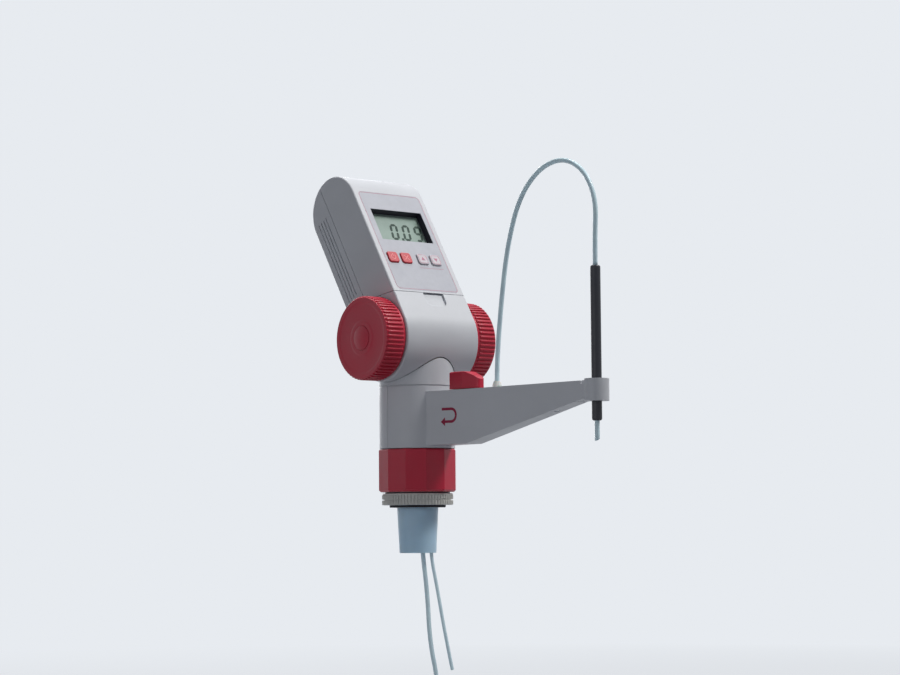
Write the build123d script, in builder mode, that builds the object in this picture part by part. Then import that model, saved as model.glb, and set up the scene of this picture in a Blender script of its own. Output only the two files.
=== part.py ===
"""Bottle-top burette: a twin-piston dispenser that screws onto a reagent bottle.

Frame: +Z is up along the bottle's axis, the display and the dispensing arm face -Y, and the
origin is on the bottle's axis at the seat, where the instrument rests on the bottle's mouth.
All sizes are in millimetres.
"""

import os
from math import cos, pi, radians, sin, sqrt, tan

from build123d import *

# ---------------------------------------------------------------- driving dimensions
# Ground joint and coupling that hold the instrument on the bottle
joint_large_r = 14.6        # NS 29/32 taper, large end
joint_small_r = 13.0
joint_length = 32.0
joint_sleeve_r = 14.0       # plain sleeve above the taper
joint_bore_r = 11.6
seal_r = 19.9
seal_height = 1.5
seal_edge = 0.3
ring_r = 25.2
ring_height = 8.5
ring_teeth = 66
ring_tooth_depth = 0.8
ring_tooth_gap = 1.1
ring_band_rise = 3.4        # plain band between the two rows of teeth
ring_band = 0.9
neck_r = 23.0
neck_height = 0.6
nut_r = 27.9                # to the corners
nut_sides = 12
nut_turned = 3              # degrees
nut_bevel = 1.2
nut_round = 1.4
nut_height = 30.2
nut_thread_r = 22.5
nut_collar_r = 19.8         # bore of the inward collar that captures the nut
nut_collar_height = 2.7

# Column and valve block
column_r = 26.8
wall = 2.4                  # housing mouldings
lower_casing_height = 43.4
upper_casing_gap = 0.9      # groove between the two casings
block_r = 20.0
block_height = 20.4         # valve block above the coupling nut
tower_half_width = 3.8
tower_height = 17.0
tower_back = 6.0            # behind the bottle's axis
tower_front = 24.0
suction_x, suction_y = 0.6, -3.2
return_x, return_y = 5.0, -6.8
nipple_low = 2.0
suction_nipple_r = 2.6
return_nipple_r = 1.7
suction_r = 1.6
return_r = 1.25
casing_spigot = 3.0         # upper casing's spigot inside the lower casings
groove_inset = 0.7          # depth of the groove between the casings
casing_screw_inset = 9.0    # from the rear casing's lower and upper edges
screw_recess_r = 2.6
screw_recess = 1.4

# Housing: pump barrel along X with the tilted control head on top
wheel_axis_z = 118.0
barrel_r = 30.0
head_half_width = 32.6
head_tilt = 31.5            # degrees back from the vertical
head_length = 109.9         # wheel axis to the centre of the round top, along the front face
head_top_r = 25.7           # half of the head's depth
seam_y = -14.9              # where the head's lower seam crosses the front face
seam_z = 33.5               # above the wheel axis
seam_slope = 8.8            # degrees, falling towards the back
edge_round = 1.4
parting_width = 0.4         # line between the head's two shells
parting_depth = 0.5
head_screw_x = 27.0
head_screw_low = 40.0       # up the head from the wheel axis
head_screw_high = 105.0
recess_x = 3.0              # finger recess in the front cover's top edge
recess_half = 9.2
recess_drop = 13.3
recess_depth = 1.5
recess_corner = 4.5
recess_mouth = 2.0          # the recess runs on above the front cover's top edge

# Front panel
foil_margin = 5.0
foil_bottom = 22.2
foil_top = 109.6
foil_thickness = 0.4
foil_corner = 3.0
window_width = 46.8
window_offset = 0.6
window_low = 66.8
window_high = 94.3
window_depth = 5.5
bezel_wall = 1.2
lcd_thickness = 4.4
board_thickness = 1.6
board_width = 54.0
board_low = 33.0
board_high = 118.0
board_corner = 2.0
post_r = 2.6                # posts between the front shell and the board
post_inset_x = 3.5
post_inset_y = 4.0
key_width = 9.0
key_height = 9.0
key_corner = 2.0
key_rise = 1.2              # above the foil
key_edge = 0.7
key_travel = 0.5
key_pitch = 12.0
key_group_gap = 15.0        # between the two middle keys
key_group_offset = -1.2
key_row = 50.6              # up the head from the wheel axis
key_flange = 0.8            # retaining lip under the shell, each side
key_flange_thickness = 1.0
key_stem_r = 2.0
key_stem_gap = 0.1          # above the pressed switch
switch_size = 6.0
switch_height = 1.6

# Handwheels and pump drive
wheel_r = 29.5
wheel_clearance = 0.6       # from the housing's side
wheel_width = 16.8
wheel_flange = 2.0          # plain collar behind the ribs
wheel_ribs = 60
wheel_rib_depth = 1.1
wheel_groove = 1.9
wheel_groove_angle = 75
wheel_bevel = 1.3
wheel_dish = 0.3
wheel_dish_margin = 3.2     # flat rim outside the dish and flat ring round the cap
wheel_dish_slope = 1.4
wheel_web = 3.0
wheel_rim = 2.6
wheel_hub_r = 8.0
hub_cap_r = 8.5
hub_cap_seat = 1.2
hub_cap_edge = 0.2
hub_cap_rise = 1.3
shaft_r = 4.0
bearing_r = 9.0
bearing_width = 5.0
shaft_bevel = 0.5
bearing_land = 4.5          # chassis metal round the bearing
cam_r = 12.0
cam_throw = 4.0
cam_width = 8.0
pump_x = 11.0               # each pump from the middle plane
cylinder_r = 7.0
cylinder_bore_r = 5.0
piston_rod_r = 3.0
follower_r = 5.5
follower_height = 3.6
follower_clearance = 0.4
follower_round = 1.0
cylinder_length = 30.0
piston_rise = 1.0           # above the cylinder's floor, at the bottom of the stroke
piston_height = 9.0
chassis_side_gap = 3.2      # side plates to the housing's inner sides
chassis_plate = 3.0
chassis_floor = 3.0
chassis_depth = 28.0
pillar_y = 13.0
pillar_r = 3.0
encoder_r = 13.0
encoder_thickness = 1.0
encoder_slots = 24
encoder_slot = 1.3
encoder_slot_length = 2.6
encoder_slot_inset = 2.5    # middle of the slots, in from the rim
sensor_half = 3.0
sensor_depth = 8.0
sensor_reach = 4.0          # past the disc's rim
sensor_slot = 1.6

# Arm, valve and spout
arm_root_y = -21.4          # inside the casing
arm_root_half = 12.3
arm_half = 7.5              # where the flare ends
arm_tip_half = 5.4
arm_flare_y = -62.0
arm_tip_y = -178.0
arm_rise = 1.8              # arm's underside above the casing's lower edge
arm_top_drop = 4.0          # arm's top below the lower casing's top
arm_flat_y = -61.0          # end of the level underside
arm_tip_height = 11.6
arm_wall = 2.0
arm_floor = 1.6
arm_end_block = 8.0         # solid end of the arm before the clamp
floor_screw_y = (-34.0, -146.0)
floor_screw_r = 2.2
floor_screw_depth = 0.8
spout_y = -184.0
clamp_r = 8.2
clamp_height = 14.6
clamp_rise = 1.0            # above the arm's top
clamp_slot = 2.4
clamp_slot_depth = 3.2
clamp_slot_inset = 3.2      # from the arm's tip
sleeve_r = 3.35
sleeve_bottom = 54.3
sleeve_top = 156.1
sleeve_round = 1.4
tube_r = 1.65
tube_tip = 40.5
tube_wall = 0.7
fitting_y = -86.0
fitting_height = 4.3
fitting_shank_r = 2.35
fitting_shank = 8.0
fitting_collar_r = 3.1
fitting_collar = 1.6
fitting_nose_r = 2.3
fitting_seat = 1.4          # tube's end above the arm's top
lever_pivot_y = -48.5
lever_clearance = 0.6       # above the arm
lever_rear = 7.0            # behind the pivot
lever_taper = 6.5           # ahead of the pivot, where the sides start to close in
lever_flat = 8.5            # ahead of the pivot, end of the level top
lever_bend = 17.5
lever_front = 21.5
lever_half = 5.4
lever_nose_half = 2.8
lever_nose_round = 2.2
lever_heel_round = 1.0
lever_edge = 0.6
lever_height = 12.0
lever_bend_height = 8.6
lever_nose = 6.2
spindle_r = 4.0
spindle_depth = 13.7        # below the underside of the arm's top
spindle_socket = 5.0        # depth of the spindle's seat in the lever
spindle_bore_r = 1.2
spindle_bore_rise = 3.0
valve_body_half = 4.5
valve_body_bevel = 1.5
valve_body_height = 18.0
valve_body_beyond = 6.0     # past the tube fitting

# Fits
fit = 0.05                  # running fit of a shaft, radial
slip = 0.08                 # sliding fit, radial
gap = 0.3                   # between pieces that move past each other

# ---------------------------------------------------------------- derived heights and planes
ring_low = seal_height
neck_low = ring_low + ring_height
stub_low = neck_low + neck_height
nut_low = stub_low + gap
nut_high = nut_low + nut_height
casing_low = nut_high + gap
casing_high = casing_low + lower_casing_height
upper_low = casing_high + upper_casing_gap
block_high = casing_low + block_height
arm_top = casing_high - arm_top_drop
arm_bottom = casing_low + arm_rise
stub_high = nut_high - nut_collar_height - gap
wheel_inner = head_half_width + wheel_clearance
wheel_outer = wheel_inner + wheel_width
chassis_x = head_half_width - wall - chassis_side_gap - chassis_plate / 2
chassis_low = wheel_axis_z - sqrt((barrel_r - wall - gap) ** 2 - (chassis_depth / 2) ** 2)

head_up = Vector(0, sin(radians(head_tilt)), cos(radians(head_tilt)))
head_out = Vector(0, -cos(radians(head_tilt)), sin(radians(head_tilt)))
head_mid = barrel_r - head_top_r            # middle of the head's depth, out from the wheel axis
wheel_centre = Vector(0, 0, wheel_axis_z)
side = Plane(origin=wheel_centre, x_dir=head_up, z_dir=(1, 0, 0))
seam_normal = Vector(0, sin(radians(seam_slope)), cos(radians(seam_slope)))
seam = Plane(origin=(0, seam_y, wheel_axis_z + seam_z), x_dir=(1, 0, 0), z_dir=seam_normal)
shaft_plane = Plane(origin=wheel_centre, x_dir=(0, 1, 0), z_dir=(1, 0, 0))
shaft_side = Plane(origin=wheel_centre, x_dir=(1, 0, 0), z_dir=(0, -1, 0))
shaft_axis = Axis(wheel_centre, (1, 0, 0))


def panel(depth):
    """Plane parallel to the front face, so far below it; local x is +X, local y runs up the head."""
    return Plane(origin=wheel_centre + head_out * (barrel_r - depth), x_dir=(1, 0, 0), z_dir=head_out)


def head_outline(inset=0.0):
    """Side view of the whole housing: the pump barrel and the round-topped head above it."""
    Circle(barrel_r - inset)
    with Locations((head_length / 2, head_mid)):
        Rectangle(head_length, 2 * (head_top_r - inset))
    with Locations((head_length, head_mid)):
        Circle(head_top_r - inset)


def save(part, name):
    part.label = name
    export_step(part, f"parts/{name}.step")


os.makedirs("parts", exist_ok=True)

# ---------------------------------------------------------------- joint on the bottle
with BuildPart() as joint_spigot:
    with BuildSketch(Plane.XZ):
        with BuildLine():
            Polyline(
                (joint_bore_r, stub_low),
                (joint_sleeve_r, stub_low),
                (joint_sleeve_r, 0),
                (joint_large_r, 0),
                (joint_small_r, -joint_length),
                (joint_bore_r, -joint_length),
                close=True,
            )
        make_face()
    revolve(axis=Axis.Z)
save(joint_spigot.part, "joint_spigot")

with BuildPart() as seal_disc:
    with BuildSketch():
        Circle(seal_r)
        Circle(joint_large_r + gap, mode=Mode.SUBTRACT)
    extrude(amount=seal_height)
    chamfer(seal_disc.faces().sort_by(Axis.Z)[0].edges(), seal_edge)
save(seal_disc.part, "seal_disc")

with BuildPart() as knurled_ring:
    with BuildSketch(Plane.XY.offset(ring_low + gap)):
        Circle(ring_r)
        with PolarLocations(ring_r, ring_teeth):
            Rectangle(2 * ring_tooth_depth, ring_tooth_gap, mode=Mode.SUBTRACT)
        Circle(joint_sleeve_r + gap, mode=Mode.SUBTRACT)
    extrude(amount=ring_height - 2 * gap)
    # the plain band that parts the two rows of teeth
    with BuildSketch(Plane.XY.offset(ring_low + ring_band_rise)):
        Circle(ring_r + 1)
        Circle(ring_r - ring_tooth_depth, mode=Mode.SUBTRACT)
    extrude(amount=ring_band, mode=Mode.SUBTRACT)
save(knurled_ring.part, "knurled_ring")

with BuildPart() as neck_ring:
    with BuildSketch(Plane.XY.offset(neck_low)):
        Circle(neck_r)
        Circle(joint_sleeve_r, mode=Mode.SUBTRACT)
    extrude(amount=neck_height)
save(neck_ring.part, "neck_ring")

with BuildPart() as coupling_nut:
    with BuildSketch(Plane.XY.offset(nut_low)):
        RegularPolygon(nut_r, nut_sides, rotation=nut_turned)
    extrude(amount=nut_height)
    chamfer(coupling_nut.faces().sort_by(Axis.Z)[0].edges(), nut_bevel)
    fillet(coupling_nut.faces().sort_by(Axis.Z)[-1].edges(), nut_round)
    with BuildSketch(Plane.XY.offset(nut_low)):
        Circle(nut_thread_r)
    extrude(amount=nut_height - nut_collar_height, mode=Mode.SUBTRACT)
    with BuildSketch(Plane.XY.offset(nut_low)):
        Circle(nut_collar_r)
    extrude(amount=nut_height, mode=Mode.SUBTRACT)
save(coupling_nut.part, "coupling_nut")

# ---------------------------------------------------------------- valve block and pumps
with BuildPart() as valve_block:
    with BuildSketch(Plane.XY.offset(stub_low)):
        Circle(nut_thread_r - gap)
    extrude(amount=stub_high - stub_low)
    with BuildSketch(Plane.XY.offset(stub_high)):
        Circle(nut_collar_r - gap)
    extrude(amount=casing_low - stub_high)
    with BuildSketch(Plane.XY.offset(casing_low)):
        Circle(block_r)
    extrude(amount=block_height)
    # the tower that carries the discharge channel up to the arm
    with BuildSketch(Plane.XY.offset(block_high)):
        with Locations((0, (tower_back - tower_front) / 2)):
            Rectangle(2 * tower_half_width, tower_back + tower_front)
    extrude(amount=tower_height)
    with BuildSketch(Plane.XY.offset(nipple_low)):
        with Locations((suction_x, suction_y)):
            Circle(suction_nipple_r)
        with Locations((return_x, return_y)):
            Circle(return_nipple_r)
    extrude(amount=stub_low - nipple_low)
save(valve_block.part, "valve_block")

cylinder_low = block_high
rod_low = cylinder_low + piston_rise + piston_height
follower_top = wheel_axis_z - cam_r - cam_throw - follower_clearance
for name, x in (("left", -pump_x), ("right", pump_x)):
    with BuildPart() as cylinder:
        with BuildSketch(Plane.XY.offset(cylinder_low)):
            with Locations((x, 0)):
                Circle(cylinder_r)
                Circle(cylinder_bore_r, mode=Mode.SUBTRACT)
        extrude(amount=cylinder_length)
    save(cylinder.part, f"cylinder_{name}")

    # pistons wait at the bottom of their stroke, just clear of the cams
    with BuildPart() as piston:
        with BuildSketch(Plane.XY.offset(cylinder_low + piston_rise)):
            with Locations((x, 0)):
                Circle(cylinder_bore_r - fit)
        extrude(amount=piston_height)
        with BuildSketch(Plane.XY.offset(rod_low)):
            with Locations((x, 0)):
                Circle(piston_rod_r)
        extrude(amount=follower_top - follower_height - rod_low)
        with BuildSketch(Plane.XY.offset(follower_top - follower_height)):
            with Locations((x, 0)):
                Circle(follower_r)
        extrude(amount=follower_height)
        fillet(piston.faces().sort_by(Axis.Z)[-1].edges(), follower_round)
    save(piston.part, f"piston_{name}")

# ---------------------------------------------------------------- column casings and arm
arm_flare_mid = (9.3, -38.0)


def arm_plan(inset=0.0):
    """Plan of the arm: a flared root that narrows to the clamp at the far end."""
    with BuildSketch() as plan:
        with BuildLine():
            for hand in (-1, 1):
                ThreePointArc(
                    (hand * (arm_root_half - inset), arm_root_y),
                    (hand * (arm_flare_mid[0] - inset), arm_flare_mid[1]),
                    (hand * (arm_half - inset), arm_flare_y),
                )
                Line((hand * (arm_half - inset), arm_flare_y), (hand * (arm_tip_half - inset), arm_tip_y))
            Line((arm_root_half - inset, arm_root_y), (inset - arm_root_half, arm_root_y))
            Line((arm_tip_half - inset, arm_tip_y), (inset - arm_tip_half, arm_tip_y))
        make_face()
    return plan.sketch


def beside_arm_floor(rise, far_z):
    """Side view from the arm's sloping underside, raised by rise, to the height far_z."""
    beyond = arm_tip_y - 20
    with BuildSketch() as view:
        with BuildLine():
            Polyline(
                (10, arm_bottom + rise),
                (arm_flat_y, arm_bottom + rise),
                (beyond, arm_bottom + rise + slope * (arm_flat_y - beyond)),
                (beyond, far_z),
                (10, far_z),
                close=True,
            )
        make_face()
    return view.sketch


tip_bottom = arm_top - arm_tip_height
slope = (tip_bottom - arm_bottom) / (arm_flat_y - arm_tip_y)
clamp_high = arm_top + clamp_rise
clamp_low = clamp_high - clamp_height
bore_plane = Plane.XY.offset(casing_low)

with BuildPart() as arm_casing:
    # front half of the lower casing
    with BuildSketch(bore_plane):
        Circle(column_r)
    extrude(amount=lower_casing_height)
    split(bisect_by=Plane.XZ.offset(gap / 2), keep=Keep.TOP)
    with BuildSketch(Plane.XY.offset(arm_bottom)):
        add(arm_plan())
    extrude(amount=arm_top - arm_bottom)
    with BuildSketch(Plane.YZ):
        add(beside_arm_floor(0, casing_low - 20))
    extrude(amount=column_r, both=True, mode=Mode.SUBTRACT)
    # put back the casing where the cut under the arm went through it
    with BuildSketch(bore_plane):
        Circle(column_r)
        with Locations((0, column_r / 2)):
            Rectangle(2 * column_r, column_r + gap, mode=Mode.SUBTRACT)
    extrude(amount=lower_casing_height)
    # clamp barrel at the tip
    with BuildSketch(Plane.XY.offset(clamp_low)):
        with Locations((0, spout_y)):
            Circle(clamp_r)
    extrude(amount=clamp_height)
    # slot between the arm's top and the clamp barrel
    with Locations((0, arm_tip_y + clamp_slot_inset, clamp_high)):
        Box(4 * arm_tip_half, clamp_slot, 2 * clamp_slot_depth, mode=Mode.SUBTRACT)
    # hollow of the casing
    with BuildSketch(bore_plane):
        Circle(column_r - wall)
    extrude(amount=lower_casing_height, mode=Mode.SUBTRACT)
    # hollow of the arm, open underneath
    with BuildSketch(Plane.XY.offset(arm_bottom)):
        add(arm_plan(arm_wall))
        with Locations((0, arm_tip_y)):
            Rectangle(4 * arm_tip_half, 2 * arm_end_block, mode=Mode.SUBTRACT)
    extrude(amount=arm_top - arm_wall - arm_bottom, mode=Mode.SUBTRACT)
    # sleeve bore, tube fitting hole and valve spindle hole
    with Locations((0, spout_y, clamp_low + clamp_height / 2)):
        Cylinder(sleeve_r + slip, clamp_height + 2, mode=Mode.SUBTRACT)
    with Locations((0, fitting_y, arm_top)):
        Cylinder(fitting_shank_r + gap, 4 * arm_wall, mode=Mode.SUBTRACT)
    with Locations((0, lever_pivot_y, arm_top)):
        Cylinder(spindle_r + gap, 4 * arm_wall, mode=Mode.SUBTRACT)
save(arm_casing.part, "arm_casing")

with BuildPart() as arm_floor_plate:
    with BuildSketch(Plane.XY.offset(arm_bottom)):
        add(arm_plan(arm_wall + fit))
        with Locations((0, arm_tip_y)):
            Rectangle(4 * arm_tip_half, 2 * arm_end_block + 1, mode=Mode.SUBTRACT)
        Circle(column_r + fit, mode=Mode.SUBTRACT)
    extrude(amount=arm_top - arm_wall - fit - arm_bottom)
    with BuildSketch(Plane.YZ):
        add(beside_arm_floor(0, casing_low - 20))
    extrude(amount=column_r, both=True, mode=Mode.SUBTRACT)
    with BuildSketch(Plane.YZ):
        add(beside_arm_floor(arm_floor, arm_top + 20))
    extrude(amount=column_r, both=True, mode=Mode.SUBTRACT)
    # screw recesses in the underside
    for y in floor_screw_y:
        screw_z = arm_bottom + slope * max(0, arm_flat_y - y)
        with Locations((0, y, screw_z)):
            Cylinder(floor_screw_r, 2 * floor_screw_depth, mode=Mode.SUBTRACT)
save(arm_floor_plate.part, "arm_floor_plate")

with BuildPart() as casing_rear:
    with BuildSketch(bore_plane):
        Circle(column_r)
        Circle(column_r - wall, mode=Mode.SUBTRACT)
    extrude(amount=lower_casing_height)
    split(bisect_by=Plane.XZ.offset(-gap / 2), keep=Keep.BOTTOM)
    # screw recesses at the back
    for z in (casing_low + casing_screw_inset, casing_high - casing_screw_inset):
        with Locations((0, column_r, z)):
            Cylinder(screw_recess_r, 2 * screw_recess, rotation=(90, 0, 0), mode=Mode.SUBTRACT)
save(casing_rear.part, "casing_rear")

with BuildPart() as column_upper:
    # spigot that seats in the lower casings, then the upper casing up to the barrel
    with BuildSketch(Plane.XY.offset(casing_high - casing_spigot)):
        Circle(column_r - wall)
        Circle(column_r - 2 * wall, mode=Mode.SUBTRACT)
    extrude(amount=casing_spigot + upper_casing_gap)
    with BuildSketch(Plane.XY.offset(casing_high)):
        Circle(column_r - groove_inset)
        Circle(column_r - 2 * wall, mode=Mode.SUBTRACT)
    extrude(amount=upper_casing_gap)
    with BuildSketch(Plane.XY.offset(upper_low)):
        Circle(column_r)
        Circle(column_r - wall, mode=Mode.SUBTRACT)
    extrude(amount=wheel_axis_z - upper_low)
    with BuildSketch(shaft_plane):
        Circle(barrel_r)
    extrude(amount=column_r + 1, both=True, mode=Mode.SUBTRACT)
save(column_upper.part, "column_upper")

# ---------------------------------------------------------------- discharge valve, lever and fitting
valve_body_front = fitting_y - valve_body_beyond
valve_body_low = arm_top - arm_wall - valve_body_height
with BuildPart() as valve_body:
    with BuildSketch(Plane.XY.offset(valve_body_low)):
        with Locations((0, (valve_body_front - tower_front) / 2)):
            Rectangle(2 * valve_body_half, -valve_body_front - tower_front)
    extrude(amount=valve_body_height)
    chamfer(valve_body.edges().filter_by(Axis.Z).group_by(Axis.Y)[0], valve_body_bevel)
    with Locations((0, lever_pivot_y, arm_top - arm_wall)):
        Cylinder(spindle_r + fit, 2 * (spindle_depth + gap), mode=Mode.SUBTRACT)
    with Locations((0, fitting_y, arm_top - arm_wall)):
        Cylinder(fitting_shank_r + slip, 2 * fitting_shank, mode=Mode.SUBTRACT)
save(valve_body.part, "valve_body")

spindle_low = arm_top - arm_wall - spindle_depth
lever_low = arm_top + lever_clearance
with BuildPart() as valve_spindle:
    with BuildSketch(Plane.XY.offset(spindle_low)):
        with Locations((0, lever_pivot_y)):
            Circle(spindle_r)
    extrude(amount=lever_low + spindle_socket - spindle_low)
    with Locations((0, lever_pivot_y, spindle_low + spindle_bore_rise)):
        Cylinder(spindle_bore_r, 4 * spindle_r, rotation=(90, 0, 0), mode=Mode.SUBTRACT)
save(valve_spindle.part, "valve_spindle")

with BuildPart() as valve_lever:
    # plan: parallel sides that close in towards a rounded nose
    with BuildSketch(Plane.XY.offset(lever_low)):
        with BuildLine():
            Polyline(
                (-lever_half, lever_pivot_y + lever_rear),
                (-lever_half, lever_pivot_y - lever_taper),
                (-lever_nose_half, lever_pivot_y - lever_front),
                (lever_nose_half, lever_pivot_y - lever_front),
                (lever_half, lever_pivot_y - lever_taper),
                (lever_half, lever_pivot_y + lever_rear),
                close=True,
            )
        make_face()
        fillet(vertices().group_by(Axis.Y)[0], lever_nose_round)
        fillet(vertices().group_by(Axis.Y)[-1], lever_heel_round)
    extrude(amount=lever_height)
    # side view: level over the spindle, then sloping to the nose
    with BuildSketch(Plane.YZ):
        with BuildLine():
            Polyline(
                (lever_pivot_y - lever_flat, lever_low + lever_height),
                (lever_pivot_y - lever_bend, lever_low + lever_bend_height),
                (lever_pivot_y - lever_front, lever_low + lever_nose),
                (lever_pivot_y - lever_front - 1, lever_low + lever_nose),
                (lever_pivot_y - lever_front - 1, lever_low + lever_height + 1),
                (lever_pivot_y - lever_flat, lever_low + lever_height + 1),
                close=True,
            )
        make_face()
    extrude(amount=2 * lever_half, both=True, mode=Mode.SUBTRACT)
    chamfer(valve_lever.faces().filter_by(Axis.Z).sort_by(Axis.Z)[-1].edges(), lever_edge)
    with Locations((0, lever_pivot_y, lever_low)):
        Cylinder(spindle_r, 2 * spindle_socket, mode=Mode.SUBTRACT)
save(valve_lever.part, "valve_lever")

with BuildPart() as tube_nut:
    with BuildSketch(Plane.XZ.offset(-fitting_y)):
        with BuildLine():
            Polyline(
                (0, arm_top - fitting_shank),
                (fitting_shank_r, arm_top - fitting_shank),
                (fitting_shank_r, arm_top),
                (fitting_collar_r, arm_top),
                (fitting_collar_r, arm_top + fitting_collar),
                (fitting_nose_r, arm_top + fitting_height),
                (tube_r + fit, arm_top + fitting_height),
                (tube_r + fit, arm_top + fitting_seat),
                (0, arm_top + fitting_seat),
                close=True,
            )
        make_face()
    revolve(axis=Axis((0, fitting_y, 0), (0, 0, 1)))
save(tube_nut.part, "tube_nut")

# ---------------------------------------------------------------- spout
with BuildPart() as spout_sleeve:
    with BuildSketch(Plane.XY.offset(sleeve_bottom)):
        with Locations((0, spout_y)):
            Circle(sleeve_r)
    extrude(amount=sleeve_top - sleeve_bottom)
    fillet(spout_sleeve.edges().filter_by(GeomType.CIRCLE), sleeve_round)
    with BuildSketch(Plane.XY.offset(sleeve_bottom)):
        with Locations((0, spout_y)):
            Circle(tube_r + fit)
    extrude(amount=sleeve_top - sleeve_bottom, mode=Mode.SUBTRACT)
save(spout_sleeve.part, "spout_sleeve")

with BuildPart() as spout_tube:
    with BuildSketch(Plane.XY.offset(tube_tip)):
        with Locations((0, spout_y)):
            Circle(tube_r)
            Circle(tube_r - tube_wall, mode=Mode.SUBTRACT)
    extrude(amount=sleeve_top - tube_tip)
    split(bisect_by=Plane(origin=(0, spout_y, tube_tip + tube_r), z_dir=(0, 0.6, 1)), keep=Keep.TOP)
save(spout_tube.part, "spout_tube")


def tube_along(points, radius, name):
    """A tube of straight runs joined by the largest tangent arcs that its runs allow."""
    corners = [Vector(*p) for p in points]
    radii = []
    for before, here, after in zip(corners, corners[1:], corners[2:]):
        turn = (here - before).get_angle(after - here)
        run = min((here - before).length, (after - here).length)
        radii.append(0.45 * run / tan(radians(turn / 2)))
    print(name, "arc radii", [round(r, 1) for r in radii])
    with BuildPart() as tube:
        with BuildLine() as path:
            FilletPolyline(*corners, radius=radii)
        route = path.wires()[0]
        with BuildSketch(Plane(origin=corners[0], z_dir=corners[1] - corners[0])):
            Circle(radius)
        sweep(path=route)
    share = tube.part.volume / (pi * radius**2 * route.length)
    print(name, "length", round(route.length, 1), "volume share", round(share, 4))
    save(tube.part, name)


# route of the dispensing tube: up from the fitting, over the arch and down into the sleeve
dispensing_route = [
    (0, fitting_y, arm_top + fitting_seat),
    (0, fitting_y, 99.0),
    (0, -91.8, 144.0),
    (0, -98.3, 178.0),
    (0, -110.4, 208.8),
    (0, -131.0, 226.8),
    (0, -155.2, 230.8),
    (0, -175.2, 219.8),
    (0, -185.6, 199.0),
    (0, spout_y, 176.0),
    (0, spout_y, sleeve_top),
]
tube_along(dispensing_route, tube_r, "dispensing_tube")

suction_route = [
    (suction_x, suction_y, nipple_low),
    (suction_x, suction_y, -26.0),
    (3.4, -6.0, -60.0),
    (3.4, -8.2, -94.0),
    (8.4, -11.6, -124.0),
    (9.6, -12.6, -158.0),
]
tube_along(suction_route, suction_r, "suction_tube")
return_route = [
    (return_x, return_y, nipple_low),
    (return_x, return_y, -29.0),
    (8.6, -11.0, -58.0),
    (11.0, -15.2, -86.0),
    (15.8, -18.0, -114.0),
]
tube_along(return_route, return_r, "return_tube")

# ---------------------------------------------------------------- pump housing around the barrel
shaft_hole_r = shaft_r + 2.0
column_clear = column_r + gap


def barrel_shell():
    """The whole housing below the head's seam as one hollow shell, with the column's place cut out."""
    with BuildPart() as shell:
        with BuildSketch(side.offset(-head_half_width)):
            head_outline()
        extrude(amount=2 * head_half_width)
        split(bisect_by=seam.offset(-gap), keep=Keep.BOTTOM)
        rims = shell.faces().filter_by(Axis.X).edges().filter_by(GeomType.CIRCLE)
        fillet(rims, edge_round)
        with BuildSketch(side.offset(-(head_half_width - wall))):
            head_outline(wall)
        extrude(amount=2 * (head_half_width - wall), mode=Mode.SUBTRACT)
        with BuildSketch():
            Circle(column_clear)
        extrude(amount=wheel_axis_z, mode=Mode.SUBTRACT)
        with BuildSketch(shaft_plane):
            Circle(shaft_hole_r)
        extrude(amount=head_half_width, both=True, mode=Mode.SUBTRACT)
    return shell.part


with BuildPart() as front_cover:
    add(barrel_shell())
    split(bisect_by=Plane.XZ.offset(gap / 2), keep=Keep.TOP)
    # U-shaped finger recess below the top edge of the front face
    recess_top = seam_z / cos(radians(head_tilt)) - barrel_r * tan(radians(head_tilt)) + recess_mouth
    with BuildSketch(panel(recess_depth)):
        with Locations((recess_x, recess_top)):
            RectangleRounded(2 * recess_half, 2 * recess_drop, recess_corner)
    extrude(amount=2 * recess_depth, mode=Mode.SUBTRACT)
save(front_cover.part, "front_cover")

with BuildPart() as rear_housing:
    add(barrel_shell())
    split(bisect_by=Plane.XZ.offset(-gap / 2), keep=Keep.BOTTOM)
save(rear_housing.part, "rear_housing")

# ---------------------------------------------------------------- pump chassis, shaft and cams
with BuildPart() as chassis:
    with BuildSketch(Plane.XY.offset(chassis_low)):
        Rectangle(2 * chassis_x + chassis_plate, chassis_depth)
        with Locations((-pump_x, 0), (pump_x, 0)):
            Circle(piston_rod_r + gap, mode=Mode.SUBTRACT)
    extrude(amount=chassis_floor)
    for x in (-chassis_x, chassis_x):
        with BuildSketch(shaft_plane.offset(x - chassis_plate / 2)):
            Circle(bearing_r + bearing_land)
            with Locations((0, (chassis_low - wheel_axis_z) / 2)):
                Rectangle(chassis_depth, wheel_axis_z - chassis_low)
            Circle(bearing_r, mode=Mode.SUBTRACT)
        extrude(amount=chassis_plate)
    # pillar down to the valve block
    with BuildSketch(Plane.XY.offset(block_high)):
        with Locations((0, pillar_y)):
            Circle(pillar_r)
    extrude(amount=chassis_low - block_high)
save(chassis.part, "chassis")

for name, sign in (("left", -1), ("right", 1)):
    with BuildPart() as bearing:
        with BuildSketch(shaft_plane.offset(sign * chassis_x - bearing_width / 2)):
            Circle(bearing_r)
            Circle(shaft_r + fit, mode=Mode.SUBTRACT)
        extrude(amount=bearing_width)
    save(bearing.part, f"bearing_{name}")

    with BuildPart() as cam:
        with BuildSketch(shaft_plane.offset(sign * pump_x - cam_width / 2)):
            with Locations((0, -sign * cam_throw)):
                Circle(cam_r)
            Circle(shaft_r, mode=Mode.SUBTRACT)
        extrude(amount=cam_width)
    save(cam.part, f"cam_{name}")

with BuildPart() as encoder_disc:
    with BuildSketch(shaft_plane.offset(-encoder_thickness / 2)):
        Circle(encoder_r)
        with PolarLocations(encoder_r - encoder_slot_inset, encoder_slots):
            Rectangle(encoder_slot_length, encoder_slot, mode=Mode.SUBTRACT)
        Circle(shaft_r, mode=Mode.SUBTRACT)
    extrude(amount=encoder_thickness)
save(encoder_disc.part, "encoder_disc")

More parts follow.
